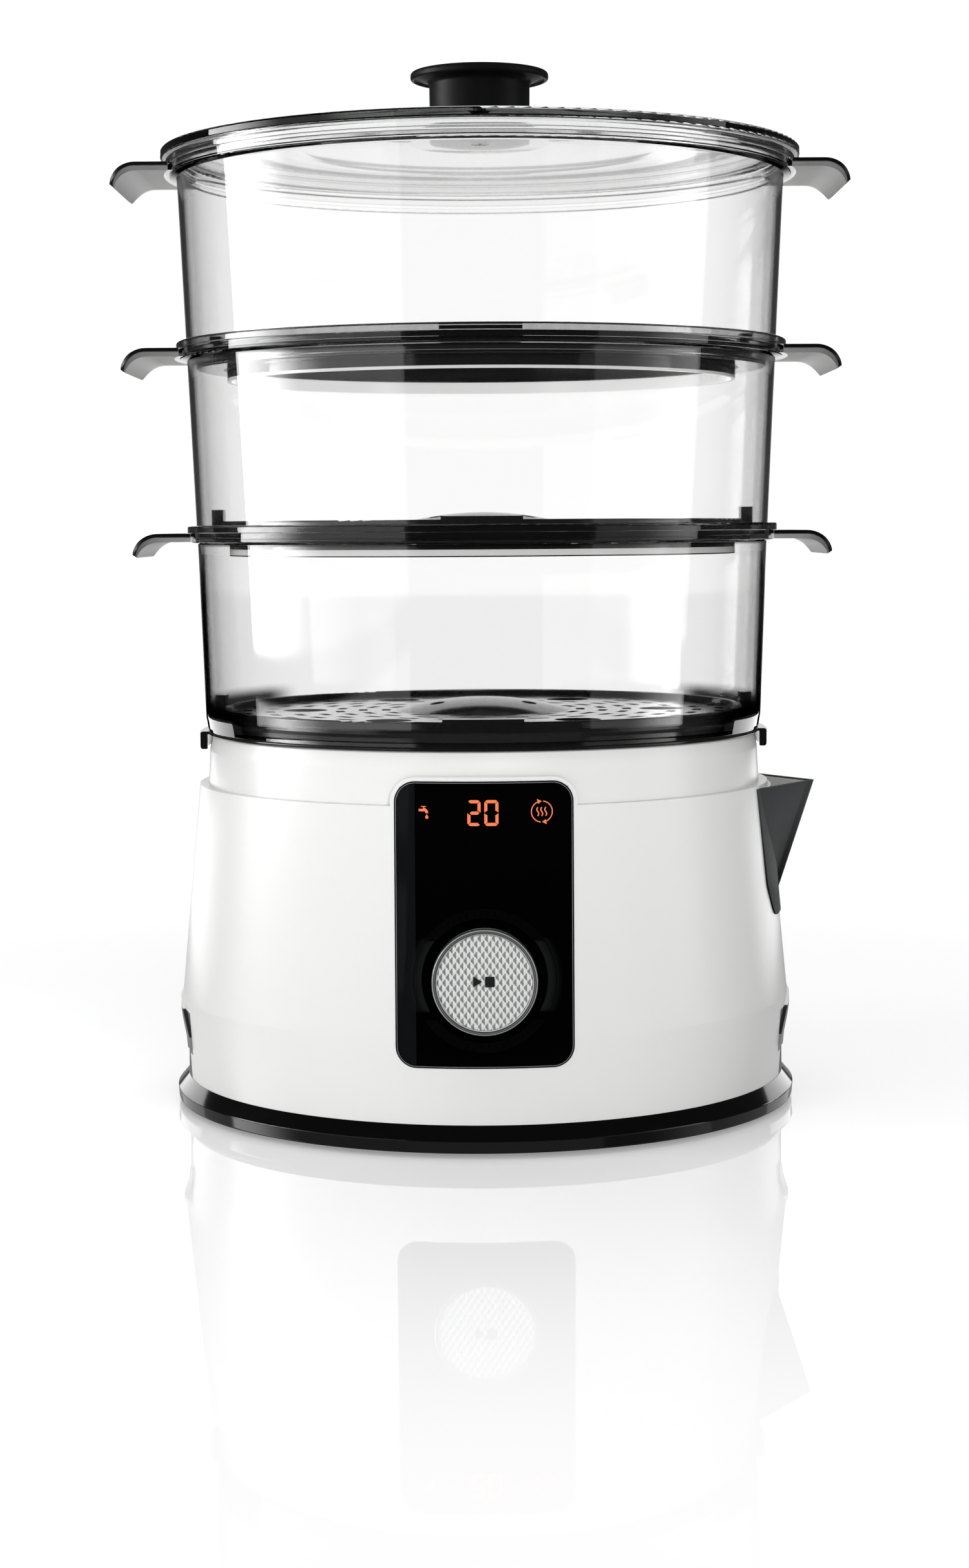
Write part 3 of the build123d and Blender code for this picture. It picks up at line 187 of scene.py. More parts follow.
def diffuser(name, corners, rear, front, foot, gap):
    """Glowing sheet that only gloss shows.

    Rear and front are pairs of a depth and the strength there.  Foot is the strength of the lowest
    part at its rear, level with the housing, and gap is how dark the strip above that is, 0 to 1."""
    mesh = bpy.data.meshes.new(name)
    mesh.from_pydata(corners, [], [(0, 1, 2, 3)])
    sheet = bpy.data.objects.new(name, mesh)
    bpy.context.scene.collection.objects.link(sheet)
    paint = bpy.data.materials.new(name)
    paint.use_nodes = True
    tree = paint.node_tree
    tree.nodes.clear()
    ray, straight = straight_view(tree)
    where = tree.nodes.new("ShaderNodeNewGeometry")
    x, y, z = split(tree, where.outputs["Position"])
    upper = ramp(tree, y, front[0], rear[0], front[1], rear[1])
    lower = ramp(tree, y, front[0], rear[0], front[1], foot)
    up = ramp(tree, z, *FOOT_FADE, 0.0, 1.0)
    down = calculate(tree, "SUBTRACT", 1.0, up)
    power = calculate(tree, "ADD", calculate(tree, "MULTIPLY", upper, up),
                      calculate(tree, "MULTIPLY", lower, down))
    strip = calculate(tree, "MULTIPLY", ramp(tree, z, *GAP_BEGINS, 0.0, gap),
                      ramp(tree, z, *GAP_ENDS, 1.0, 0.0))
    seen = calculate(tree, "SUBTRACT", calculate(tree, "SUBTRACT", 1.0, straight), strip, clamp=True)
    power = calculate(tree, "MULTIPLY", power, seen)
    glow = tree.nodes.new("ShaderNodeEmission")
    join(tree, calculate(tree, "ADD", power, straight), glow.inputs["Strength"])
    join(tree, glow.outputs[0], tree.nodes.new("ShaderNodeOutputMaterial").inputs["Surface"])
    mesh.materials.append(paint)
    sheet.visible_camera = False
    sheet.visible_diffuse = False
    sheet.visible_shadow = False


diffuser("left_diffuser", [(-1.0, 0.16, 0.0), (-1.0, 0.27, 0.66), (-0.55, -1.05, 0.66), (-0.55, -1.05, 0.0)],
         rear=(0.02, 10.0), front=(-0.35, 0.9), foot=3.0, gap=1.0)
diffuser("right_diffuser", [(1.0, -0.13, 0.0), (1.0, 0.03, 0.66), (0.75, -0.85, 0.66), (0.75, -0.85, 0.0)],
         rear=(-0.10, 1.9), front=(-0.55, 0.4), foot=4.0, gap=1.0)
CARD_LEVEL = 2.4
for side, name in ((-1, "low_card_left"), (1, "low_card_right")):
    corners = [(side * 0.33, depth, height)
               for depth, height in ((0.114, 0.02), (0.60, 0.02), (0.60, 0.118), (0.114, 0.118))]
    diffuser(name, corners, rear=(0.6, CARD_LEVEL), front=(0.1, CARD_LEVEL), foot=CARD_LEVEL, gap=0.0)

TABLE_PAINT = 0.86
TABLE_LIFT = 0.42
TABLE_MIRROR = 0.36
TABLE_FADE = (0.22, 0.60)
MIRROR_FADE = (0.13, 0.62)
bpy.ops.mesh.primitive_grid_add(x_subdivisions=4, y_subdivisions=4, size=14.0, location=(0, 2.0, 0))
table = bpy.context.object
table.name = "table_top"
paint = bpy.data.materials.new("table_top")
paint.use_nodes = True
tree = paint.node_tree
tree.nodes.clear()
ray, straight = straight_view(tree)
glossy = calculate(tree, "MINIMUM", ray.outputs["Glossy Depth"], 1.0)
where = tree.nodes.new("ShaderNodeNewGeometry")
away = flat_step(tree, "LENGTH", where.outputs["Position"]).outputs["Value"]
# The paint takes the shadow near the machine; far off and in gloss it gives way to a plain level.
far = ramp(tree, away, *TABLE_FADE, 0.0, 1.0)
cover = calculate(tree, "SUBTRACT", 1.0, calculate(tree, "MULTIPLY", far, straight))
cover = calculate(tree, "MULTIPLY", cover, calculate(tree, "SUBTRACT", 1.0, glossy))
matt = tree.nodes.new("ShaderNodeBsdfDiffuse")
join(tree, mix(tree, cover, (0, 0, 0, 1), (TABLE_PAINT, TABLE_PAINT, TABLE_PAINT, 1)), matt.inputs["Color"])
raised = calculate(tree, "MULTIPLY", ramp(tree, away, *TABLE_FADE, TABLE_LIFT, 1.0), straight)
backdrop = calculate(tree, "MULTIPLY", behind(tree, where.outputs["Position"]), glossy)
lift = tree.nodes.new("ShaderNodeEmission")
join(tree, calculate(tree, "ADD", raised, backdrop), lift.inputs["Strength"])
lit = tree.nodes.new("ShaderNodeAddShader")
join(tree, matt.outputs[0], lit.inputs[0])
join(tree, lift.outputs[0], lit.inputs[1])
mirror = tree.nodes.new("ShaderNodeBsdfGlossy")
join(tree, (1, 1, 1, 1), mirror.inputs["Color"])
join(tree, 0.0, mirror.inputs["Roughness"])
surface = tree.nodes.new("ShaderNodeMixShader")
join(tree, ramp(tree, away, *MIRROR_FADE, TABLE_MIRROR, 0.0), surface.inputs[0])
join(tree, lit.outputs[0], surface.inputs[1])
join(tree, mirror.outputs[0], surface.inputs[2])
join(tree, surface.outputs[0], tree.nodes.new("ShaderNodeOutputMaterial").inputs["Surface"])
table.data.materials.append(paint)

# ---- Base ring and base plate -----------------------------------------------------------------
# The gloss black ring is moulded ABS, polished in the tool.  The plate inside it closes the
# underside; four screws pull it up against the towers of the housing.


def effect(name, inputs, outputs):
    """Empty node group with named sockets, and its two end nodes."""
    group = bpy.data.node_groups.new(name, "ShaderNodeTree")
    for sockets, direction in ((inputs, "INPUT"), (outputs, "OUTPUT")):
        for label, kind in sockets.items():
            group.interface.new_socket(label, in_out=direction, socket_type="NodeSocket" + kind)
    return group, group.nodes.new("NodeGroupInput"), group.nodes.new("NodeGroupOutput")


def use(tree, group, **values):
    """Place a node group in a tree; an underscore in a value's name is a space in its socket."""
    node = tree.nodes.new("ShaderNodeGroup")
    node.node_tree = group
    for label, value in values.items():
        join(tree, value, node.inputs[label.replace("_", " ")])
    return node


def noise(tree, scale, detail, distortion=0.0, stretch=(1, 1, 1)):
    """Value of a noise that stays with the piece; scale in cycles per metre."""
    place = tree.nodes.new("ShaderNodeTexCoord")
    pull = tree.nodes.new("ShaderNodeMapping")
    join(tree, place.outputs["Object"], pull.inputs["Vector"])
    join(tree, stretch, pull.inputs["Scale"])
    node = tree.nodes.new("ShaderNodeTexNoise")
    join(tree, pull.outputs[0], node.inputs["Vector"])
    join(tree, scale, node.inputs["Scale"])
    join(tree, detail, node.inputs["Detail"])
    join(tree, distortion, node.inputs["Distortion"])
    return node.outputs["Fac"]


def moulded_skin():
    """Moulded plastic: fine grain, faint flow marks in the colour and rougher handling marks."""
    group, given, made = effect(
        "moulded_skin",
        {"Colour": "Color", "Roughness": "Float", "Grain": "Float", "Flow": "Float", "Marks": "Float"},
        {"Colour": "Color", "Roughness": "Float", "Height": "Float"})
    grain = noise(group, given.outputs["Grain"], 3.0)
    flow = ramp(group, noise(group, 9.0, 2.0), 0.0, 1.0, -1.0, 1.0, "LINEAR")
    shade = group.nodes.new("ShaderNodeHueSaturation")
    join(group, given.outputs["Colour"], shade.inputs["Color"])
    flow = calculate(group, "MULTIPLY", flow, given.outputs["Flow"])
    join(group, calculate(group, "ADD", flow, 1.0), shade.inputs["Value"])
    smear = ramp(group, noise(group, 34.0, 4.0, distortion=1.4), 0.45, 0.75, 0.0, 1.0, "LINEAR")
    touched = calculate(group, "MULTIPLY", smear, given.outputs["Marks"])
    join(group, shade.outputs[0], made.inputs["Colour"])
    join(group, calculate(group, "ADD", touched, given.outputs["Roughness"]), made.inputs["Roughness"])
    join(group, grain, made.inputs["Height"])
    return group


def finished(name, group, depth, **values):
    """Material whose colour, roughness and fine relief come from a node group; depth in metres."""
    paint = bpy.data.materials.new(name)
    paint.use_nodes = True
    tree = paint.node_tree
    surface = tree.nodes["Principled BSDF"]
    skin = use(tree, group, **values)
    bump = tree.nodes.new("ShaderNodeBump")
    join(tree, depth, bump.inputs["Distance"])
    join(tree, skin.outputs["Height"], bump.inputs["Height"])
    join(tree, skin.outputs["Colour"], surface.inputs["Base Color"])
    join(tree, skin.outputs["Roughness"], surface.inputs["Roughness"])
    join(tree, bump.outputs[0], surface.inputs["Normal"])
    return paint


MOULDED_SKIN = moulded_skin()


def plastic(name, colour, rough, grain=900.0, depth=0.00002, flow=0.02, marks=0.05, shine=0.5):
    """Moulded plastic; grain in cycles per metre."""
    paint = finished(name, MOULDED_SKIN, depth, Colour=(*colour, 1), Roughness=rough, Grain=grain,
                     Flow=flow, Marks=marks)
    paint.node_tree.nodes["Principled BSDF"].inputs["Specular IOR Level"].default_value = shine
    return paint


def dress(paint, *names):
    """Give CAD nodes a material."""
    for name in names:
        for slot in nodes[name].material_slots:
            slot.material = paint


dress(plastic("gloss_black_abs", (0.0012, 0.0012, 0.0013), 0.08, depth=0.000003, marks=0.02, shine=0.35),
      "base_ring")
dress(plastic("plate_plastic", (0.10, 0.10, 0.105), 0.55), "base_plate")

# ---- Rubber feet and screws -------------------------------------------------------------------
# Four soft rubber feet are pulled through holes in the base plate and hold by a neck.  The screws
# are zinc-plated steel; the same finish serves those of the heater, the boards and the knob.
dress(plastic("foot_rubber", (0.02, 0.02, 0.02), 0.8, grain=1600.0, depth=0.00004), "rubber_feet")


def drawn_grain():
    """Plain metal: a faint drawn grain, darker in its furrows, and an uneven polish."""
    group, given, made = effect("drawn_grain", {"Colour": "Color", "Roughness": "Float", "Scratch": "Float"},
                                {"Colour": "Color", "Roughness": "Float", "Height": "Float"})
    grain = noise(group, given.outputs["Scratch"], 5.0, stretch=(1, 1, 9))
    furrow = group.nodes.new("ShaderNodeHueSaturation")
    join(group, given.outputs["Colour"], furrow.inputs["Color"])
    join(group, 0.82, furrow.inputs["Value"])
    polish = ramp(group, grain, 0.0, 1.0, 0.75, 1.3, "LINEAR")
    join(group, mix(group, grain, furrow.outputs[0], given.outputs["Colour"]), made.inputs["Colour"])
    join(group, calculate(group, "MULTIPLY", polish, given.outputs["Roughness"]), made.inputs["Roughness"])
    join(group, grain, made.inputs["Height"])
    return group


DRAWN_GRAIN = drawn_grain()


def metal(name, colour, rough, scratch=220.0, depth=0.00002, metallic=1.0):
    """Plain metal; scratch in cycles per metre."""
    paint = finished(name, DRAWN_GRAIN, depth, Colour=(*colour, 1), Roughness=rough, Scratch=scratch)
    paint.node_tree.nodes["Principled BSDF"].inputs["Metallic"].default_value = metallic
    return paint


dress(metal("zinc_screw", (0.62, 0.62, 0.60), 0.32), "base_screws", "heater_screws", "power_board_screws",
      "control_board_screws", "lid_knob_screw")

# ---- Housing and hand grips -------------------------------------------------------------------
# White moulded shell with a silky surface.  Soft black grips fill the arches at its two sides,
# and the legs of the arches' lips are covered with the same black.


def hypotenuse(tree, first, second):
    """Length of the slope over two sides."""
    squares = [calculate(tree, "MULTIPLY", side, side) for side in (first, second)]
    return calculate(tree, "SQRT", calculate(tree, "ADD", *squares))


def places(tree):
    """Sockets x, y, z and the distance from the upright axis, in metres."""
    place = tree.nodes.new("ShaderNodeTexCoord")
    x, y, z = split(tree, place.outputs["Object"])
    return x, y, z, hypotenuse(tree, x, y)


def apart(tree, value, middle=0.0):
    """Distance of a value from a middle."""
    if middle:
        value = calculate(tree, "SUBTRACT", value, middle)
    return calculate(tree, "ABSOLUTE", value)


def past(tree, value, edge):
    """How far a value lies past an edge, or 0 before it."""
    return calculate(tree, "MAXIMUM", calculate(tree, "SUBTRACT", value, edge), 0.0)


def overlap(tree, *masks):
    """1 where all the masks are 1."""
    result = masks[0]
    for mask in masks[1:]:
        result = calculate(tree, "MULTIPLY", result, mask)
    return result


def tint(paint, mask, colour):
    """Lay a colour over a material's own where the mask is 1."""
    tree = paint.node_tree
    base = tree.nodes["Principled BSDF"].inputs["Base Color"]
    join(tree, mix(tree, mask, base.links[0].from_socket, (*colour, 1)), base)


GRIP_BLACK = (0.02, 0.02, 0.021)
LEG_INSIDE = 0.118
LEG_HALF_WIDTH = 0.037
LEG_FOOT, LEG_HEAD = 0.0235, 0.0415
paint = plastic("white_shell", (0.86, 0.86, 0.855), 0.30, grain=1500.0, depth=0.000006, flow=0.004,
                marks=0.01)
tree = paint.node_tree
x, y, z, radius = places(tree)
leg = overlap(tree, ramp(tree, apart(tree, x), LEG_INSIDE - 0.0002, LEG_INSIDE + 0.0002, 0.0, 1.0),
              ramp(tree, apart(tree, y), LEG_HALF_WIDTH - 0.0001, LEG_HALF_WIDTH + 0.0002, 1.0, 0.0),
              ramp(tree, z, LEG_FOOT - 0.0002, LEG_FOOT + 0.0002, 0.0, 1.0),
              ramp(tree, z, LEG_HEAD - 0.0002, LEG_HEAD + 0.0002, 1.0, 0.0))
tint(paint, leg, GRIP_BLACK)
dress(paint, "outer_housing")
dress(plastic("grip_black", GRIP_BLACK, 0.42, grain=1400.0, depth=0.00003),
      "hand_grip_left", "hand_grip_right")
dress(plastic("gland_rubber", (0.02, 0.02, 0.02), 0.7, grain=1200.0, depth=0.00004), "cord_gland")

# ---- Water tank and heater --------------------------------------------------------------------
# The basin and the collar above the ledge are one white moulding.  A cast aluminium plate with
# a silicone seal closes its floor from below and carries the heating tube.
dress(plastic("tank_white", (0.86, 0.86, 0.855), 0.26, grain=1500.0, depth=0.000005, flow=0.004,
              marks=0.01), "water_tank")
dress(metal("cast_aluminium", (0.66, 0.66, 0.65), 0.48, scratch=500.0, depth=0.00005), "heater_plate")
dress(plastic("silicone", (0.72, 0.70, 0.66), 0.45), "heater_seal", "port_seal")
dress(metal("element_tube", (0.34, 0.31, 0.28), 0.40), "heating_element")
dress(plastic("switch_resin", (0.20, 0.10, 0.05), 0.40), "thermostat")
dress(plastic("fuse_ceramic", (0.78, 0.77, 0.73), 0.60), "thermal_fuse")
dress(metal("sensor_sleeve", (0.60, 0.60, 0.60), 0.30), "temperature_sensor")

# ---- Power board ------------------------------------------------------------------------------
# Glass-fibre board under green resist with relay, transformer, capacitor and mains terminals.
# Silicone-covered leads run from it to the heating tube, and a grey ribbon to the panel.
dress(plastic("board_resist", (0.015, 0.16, 0.05), 0.35, grain=600.0, depth=0.00003, flow=0.12),
      "power_board", "control_board")
dress(plastic("relay_case", (0.04, 0.13, 0.40), 0.30), "relay")
dress(plastic("winding_tape", (0.72, 0.55, 0.08), 0.40, flow=0.08), "transformer")
dress(metal("can_sleeve", (0.10, 0.12, 0.26), 0.30, metallic=0.4), "capacitor")
dress(plastic("terminal_nylon", (0.62, 0.62, 0.58), 0.50), "terminal_block")
dress(plastic("lead_silicone", (0.42, 0.08, 0.06), 0.45), "heater_leads")
dress(plastic("ribbon_grey", (0.50, 0.51, 0.53), 0.40, grain=300.0, flow=0.10), "ribbon_cable")

# ---- Control panel ----------------------------------------------------------------------------
# Smoked acrylic window in a thin black frame with one bright line round it, a painted highlight.  Behind it
# sit the carrier, the board and the display, which glows through the smoked sheet.
FRAME_MIDDLE = 0.09095
FRAME_STRAIGHT_X, FRAME_STRAIGHT_Z = 0.02685, 0.04785
HIGHLIGHT_RADIUS, HIGHLIGHT_FULL, HIGHLIGHT_ENDS = 0.0077, 0.00006, 0.00014
paint = plastic("bezel_black", (0.004, 0.004, 0.0045), 0.12, depth=0.000004, marks=0.02, shine=0.2)
tree = paint.node_tree
x, y, z, radius = places(tree)
corner = hypotenuse(tree, past(tree, apart(tree, x), FRAME_STRAIGHT_X),
                    past(tree, apart(tree, z, FRAME_MIDDLE), FRAME_STRAIGHT_Z))
# Painted highlight: a light grey line round the frame's corners and sides.
line = ramp(tree, apart(tree, corner, HIGHLIGHT_RADIUS), HIGHLIGHT_FULL, HIGHLIGHT_ENDS, 1.0, 0.0)
tint(paint, line, (0.22, 0.23, 0.23))
dress(paint, "panel_bezel")

REFLECTION_STRIP_EDGE = -0.027
DIAL_HEIGHT = 0.0693
SCOOP_HEIGHT = 0.0712
SCOOP_INNER, SCOOP_DEEPEST, SCOOP_OUTER = 0.0246, 0.0250, 0.0312
paint = plastic("smoked_acrylic", (0.0004, 0.0004, 0.0005), 0.05, depth=0.0, marks=0.02, flow=0.0,
                shine=0.06)
tree = paint.node_tree
x, y, z, radius = places(tree)
# Painted reflection: left of this edge the window is a little lighter, for the reflection of the left
# diffuser.
strip = ramp(tree, x, REFLECTION_STRIP_EDGE - 0.0001, REFLECTION_STRIP_EDGE + 0.0001, 1.0, 0.0)
tint(paint, strip, (0.0052, 0.0058, 0.0062))
# Painted sheen: the scoops round the dial are a little lighter than the rest of the window.
around = hypotenuse(tree, x, calculate(tree, "SUBTRACT", z, DIAL_HEIGHT))
scoop = overlap(tree, ramp(tree, around, SCOOP_INNER, SCOOP_DEEPEST, 0.0, 1.0),
                ramp(tree, around, SCOOP_DEEPEST, SCOOP_OUTER, 1.0, 0.0),
                ramp(tree, apart(tree, z, SCOOP_HEIGHT), 0.0135, 0.0150, 1.0, 0.0))
tint(paint, scoop, (0.010, 0.011, 0.011))
dress(paint, "panel_window")
dress(plastic("rib_black", (0.0008, 0.0008, 0.0009), 0.30, shine=0.10), "dial_rib_ring")
dress(plastic("carrier_black", (0.03, 0.03, 0.03), 0.5), "panel_carrier")
dress(plastic("display_case", (0.10, 0.10, 0.10), 0.25), "display_module")
dress(plastic("guide_acrylic", (0.80, 0.80, 0.76), 0.30), "light_guide")
dress(metal("encoder_case", (0.60, 0.60, 0.58), 0.35), "encoder_body")

# ---- Timer figures and symbols ----------------------------------------------------------------
# The lit segments and symbols of the display as they stand in the face of the window: a tap for
# low water, the minutes, and waves in a turning circle for keeping warm.  All are in millimetres.
amber = bpy.data.materials.new("amber_glow")
amber.use_nodes = True
tree = amber.node_tree
surface = tree.nodes["Principled BSDF"]
join(tree, (0.02, 0.01, 0.01, 1), surface.inputs["Base Color"])
join(tree, 0.4, surface.inputs["Roughness"])
glow = mix(tree, noise(tree, 420.0, 2.0), (0.93, 0.205, 0.072, 1), (1.0, 0.24, 0.09, 1))
join(tree, glow, surface.inputs["Emission Color"])
join(tree, 1.0, surface.inputs["Emission Strength"])


def new_object(name, mesh, paint):
    """Object made from a mesh, in one material."""
    bmesh.ops.recalc_face_normals(mesh, faces=mesh.faces[:])
    data = bpy.data.meshes.new(name)
    mesh.to_mesh(data)
    mesh.free()
    data.materials.append(paint)
    made = bpy.data.objects.new(name, data)
    bpy.context.scene.collection.objects.link(made)
    return made


def add_plate(mesh, front, back):
    """Closed plate between its front and its back outline."""
    front = [mesh.verts.new(spot) for spot in front]
    back = [mesh.verts.new(spot) for spot in back]
    mesh.faces.new(front)
    mesh.faces.new(back[::-1])
    for i in range(len(front)):
        mesh.faces.new((front[i - 1], back[i - 1], back[i], front[i]))


PLATE_PROUD, PLATE_SUNK = 0.00008, 0.00001


def lit_plates(name, *outlines):
    """Thin glowing plates laid on the window's face; outlines are of (x, z)."""
    mesh = bmesh.new()
    for outline in outlines:
        face = [nodes["panel_window"].ray_cast((x / 1000, -0.3, z / 1000), (0, 1, 0))[1]
                for x, z in outline]
        add_plate(mesh, [spot - Vector((0, PLATE_PROUD, 0)) for spot in face],
                  [spot + Vector((0, PLATE_SUNK, 0)) for spot in face])
    plates = new_object(name, mesh, amber)
    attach(plates, "base")


FIGURE_FOOT, FIGURE_HIGH, BAR_WIDE = 129.8, 10.1, 1.22


def figure(left, wide, lit):
    """Outlines of the lit bars of a seven-bar figure; lit names them from a to g, clockwise."""
    t = BAR_WIDE
    right = left + wide
    waist = FIGURE_FOOT + FIGURE_HIGH / 2
    foot, head = FIGURE_FOOT, FIGURE_FOOT + FIGURE_HIGH
    bars = {
        "a": [(left + 0.42, head - 0.48), (left + 0.75, head - 0.18), (left + 1.3, head), (right - 1.3, head),
              (right - 0.75, head - 0.18), (right - 0.42, head - 0.48), (right - t, head - t),
              (left + t, head - t)],
        "b": [(right - 0.28, head - 0.62), (right, head - 1.15), (right, waist + 0.25),
              (right - t, waist + 0.95), (right - t, head - t - 0.22)],
        "c": [(right - t, waist - 0.95), (right, waist - 0.10), (right, foot + 1.15),
              (right - 0.28, foot + 0.62), (right - t, foot + t + 0.22)],
        "g": [(left + 0.95, waist - 0.02), (left + 1.65, waist + 0.62), (right - 1.2, waist + 0.62),
              (right - 0.5, waist + 0.05), (right - 1.1, waist - 0.62), (left + 1.55, waist - 0.62)],
    }
    bars["d"] = [(x, foot + head - z) for x, z in bars["a"]]
    bars["e"] = [(left + right - x, z) for x, z in bars["c"]]
    bars["f"] = [(left + right - x, z) for x, z in bars["b"]]
    return [bars[name] for name in lit]


def line_runs(points, wide):
    """A curved line as short overlapping runs, so that each plate is convex."""
    path = [Vector(point) for point in points]
    runs = []
    for start, end in zip(path, path[1:]):
        over = (end - start).normalized() * wide * 0.12
        side = Vector((-over.y, over.x)).normalized() * wide / 2
        corners = (start - over + side, start - over - side, end + over - side, end + over + side)
        runs.append([tuple(corner) for corner in corners])
    return runs


def arc(middle, radius, start, end, steps):
    """Points of an arc between two angles in degrees."""
    turns = [radians(start + (end - start) * i / steps) for i in range(steps + 1)]
    return [(middle[0] + radius * cos(turn), middle[1] + radius * sin(turn)) for turn in turns]


lit_plates("timer_two", *figure(-6.40, 5.20, "abged"))
lit_plates("timer_nought", *figure(0.20, 5.55, "abcdef"))

tap = [(-25.4, 135.45), (-25.4, 136.40), (-23.95, 136.40), (-23.55, 136.75), (-22.95, 136.75),
       (-22.55, 136.40), (-22.2, 136.15), (-21.85, 135.7), (-21.72, 135.1), (-21.72, 134.72),
       (-22.72, 134.72), (-22.78, 135.15), (-23.05, 135.45)]
tap_handle = [(-24.45, 137.22), (-24.45, 137.52), (-22.55, 137.52), (-22.55, 137.22)]
tap_stem = [(-23.65, 136.70), (-23.65, 137.25), (-23.28, 137.25), (-23.28, 136.70)]
drop = [(-22.25, 134.35), (-22.62, 133.75), *arc((-22.25, 133.15), 0.63, 160, 380, 12), (-21.88, 133.75)]
lit_plates("tap_symbol", tap, tap_handle, tap_stem, drop)

WARM_X, WARM_Z, WARM_RADIUS = 22.7, 135.1, 4.1
WAVE_HIGH, WAVE_SWING, WAVE_STEPS = 3.3, 0.36, 14
circle = [run for start, end in ((262, 112), (82, -66))
          for run in line_runs(arc((WARM_X, WARM_Z), WARM_RADIUS, start, end, 30), 0.40)]
upper_arrow = [(20.75, 140.05), (22.65, 139.15), (21.25, 138.15)]
lower_arrow = [(2 * WARM_X - x, 2 * WARM_Z - z) for x, z in upper_arrow]
waves = []
for aside in (-1.6, -0.05, 1.5):
    wave = [(WARM_X + aside + WAVE_SWING * sin(2 * pi * i / WAVE_STEPS),
             WARM_Z + WAVE_HIGH * (i / WAVE_STEPS - 0.5)) for i in range(WAVE_STEPS + 1)]
    waves += line_runs(wave, 0.46)
lit_plates("warm_symbol", *circle, upper_arrow, lower_arrow, *waves)

# ---- Dial -------------------------------------------------------------------------------------
# A silver disc with a diamond relief lies in a clear rim on a grey core, with the start and stop
# marks printed on it.  The dial turns on the encoder's shaft and presses in by under a millimetre.
dress(plastic("plunger_black", (0.03, 0.03, 0.03), 0.4), "encoder_plunger")
dress(metal("shaft_metal", (0.70, 0.70, 0.70), 0.3), "encoder_shaft")
dress(plastic("core_grey", (0.42, 0.42, 0.43), 0.35), "dial_core")
# Painted shade: the flanks of the relief that lean to the left are darker, which brings the diamonds out.
silver = metal("dial_silver", (0.99, 0.99, 0.98), 0.32, scratch=900.0, metallic=0.1)
tree = silver.node_tree
lean = tree.nodes.new("ShaderNodeTexCoord")
left_flank_shade = ramp(tree, split(tree, lean.outputs["Normal"])[0], -0.26, 0.10, 1.0, 0.0)
tint(silver, left_flank_shade, (0.24, 0.25, 0.25))

DIAMOND_WIDE, DIAMOND_HIGH = 0.00275, 0.0043
DIAMOND_DEPTH = 0.00075
DISC_RADIUS = 0.0186
DISC_FACE = 0.0072
SKIRT = 0.0011
PANEL_LEAN = radians(3.0)
origin = Vector((0, -0.12577, DIAL_HEIGHT))
across = Vector((1, 0, 0))
up = Vector((0, sin(PANEL_LEAN), cos(PANEL_LEAN)))
ahead = Vector((0, -cos(PANEL_LEAN), sin(PANEL_LEAN)))


def on_dial(x, y, z):
    """A place on the dial: x across, y up, z out of the panel, in metres."""
    return origin + across * x + up * y + ahead * z


# The relief is a grid along the diamonds' own slanting rows, pulled in to the disc's edge.
mesh = bmesh.new()
steps, reach = 6, 13
grid = {}
for i in range(-reach * steps, reach * steps + 1):
    for j in range(-reach * steps, reach * steps + 1):
        u, v = i / steps, j / steps
        x, y = (u + v) * DIAMOND_WIDE / 2, (u - v) * DIAMOND_HIGH / 2
        away = (x * x + y * y) ** 0.5
        if away > DISC_RADIUS + 0.0012:
            continue
        groove = max(abs((u % 1) * 2 - 1), abs((v % 1) * 2 - 1)) ** 1.4
        if away > DISC_RADIUS:
            x, y = x * DISC_RADIUS / away, y * DISC_RADIUS / away
        grid[i, j] = mesh.verts.new(on_dial(x, y, DISC_FACE - DIAMOND_DEPTH * groove))
for i, j in grid:
    square = [grid.get(key) for key in ((i, j), (i + 1, j), (i + 1, j + 1), (i, j + 1))]
    if None not in square:
        mesh.faces.new(square)
border = [edge for edge in mesh.edges if edge.is_boundary]
skirt = bmesh.ops.extrude_edge_only(mesh, edges=border)["geom"]
skirt = [part for part in skirt if isinstance(part, bmesh.types.BMVert)]
bmesh.ops.translate(mesh, vec=-ahead * SKIRT, verts=skirt)
relief = new_object("dial_relief", mesh, silver)
relief.data.polygons.foreach_set("use_smooth", [True] * len(relief.data.polygons))
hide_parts("dial_disc")
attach(relief, "dial")

start_mark = [(-0.0045, -0.0017), (-0.0045, 0.0025), (-0.0010, 0.0004)]
stop_mark = [(0.0001, -0.0015), (0.0001, 0.0022), (0.0003, 0.0024), (0.0036, 0.0024), (0.0038, 0.0022),
             (0.0038, -0.0015), (0.0036, -0.0017), (0.0003, -0.0017)]
mesh = bmesh.new()
for outline in (start_mark, stop_mark):
    add_plate(mesh, [on_dial(x, y, DISC_FACE + 0.00008) for x, y in outline],
              [on_dial(x, y, DISC_FACE - 0.0003) for x, y in outline])
ink = plastic("mark_ink", (0.008, 0.011, 0.011), 0.45, depth=0.000005)
marks = new_object("start_stop_marks", mesh, ink)
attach(marks, "dial")

# The clear rim is drawn as grey plastic, and three thin light rings at its turned edges are painted
# highlights.
RIM_HEIGHT = 0.0697
paint = plastic("dial_rim_grey", (0.045, 0.048, 0.048), 0.12, depth=0.000004, marks=0.02)
tree = paint.node_tree
x, y, z, radius = places(tree)
around = hypotenuse(tree, x, calculate(tree, "SUBTRACT", z, RIM_HEIGHT))
for highlight_radius, tone in ((0.01885, 0.62), (0.01965, 0.14), (0.02035, 0.40)):
    line = ramp(tree, apart(tree, around, highlight_radius), 0.00008, 0.00022, 1.0, 0.0)
    tint(paint, line, (tone, tone, tone))
dress(paint, "dial_rim")
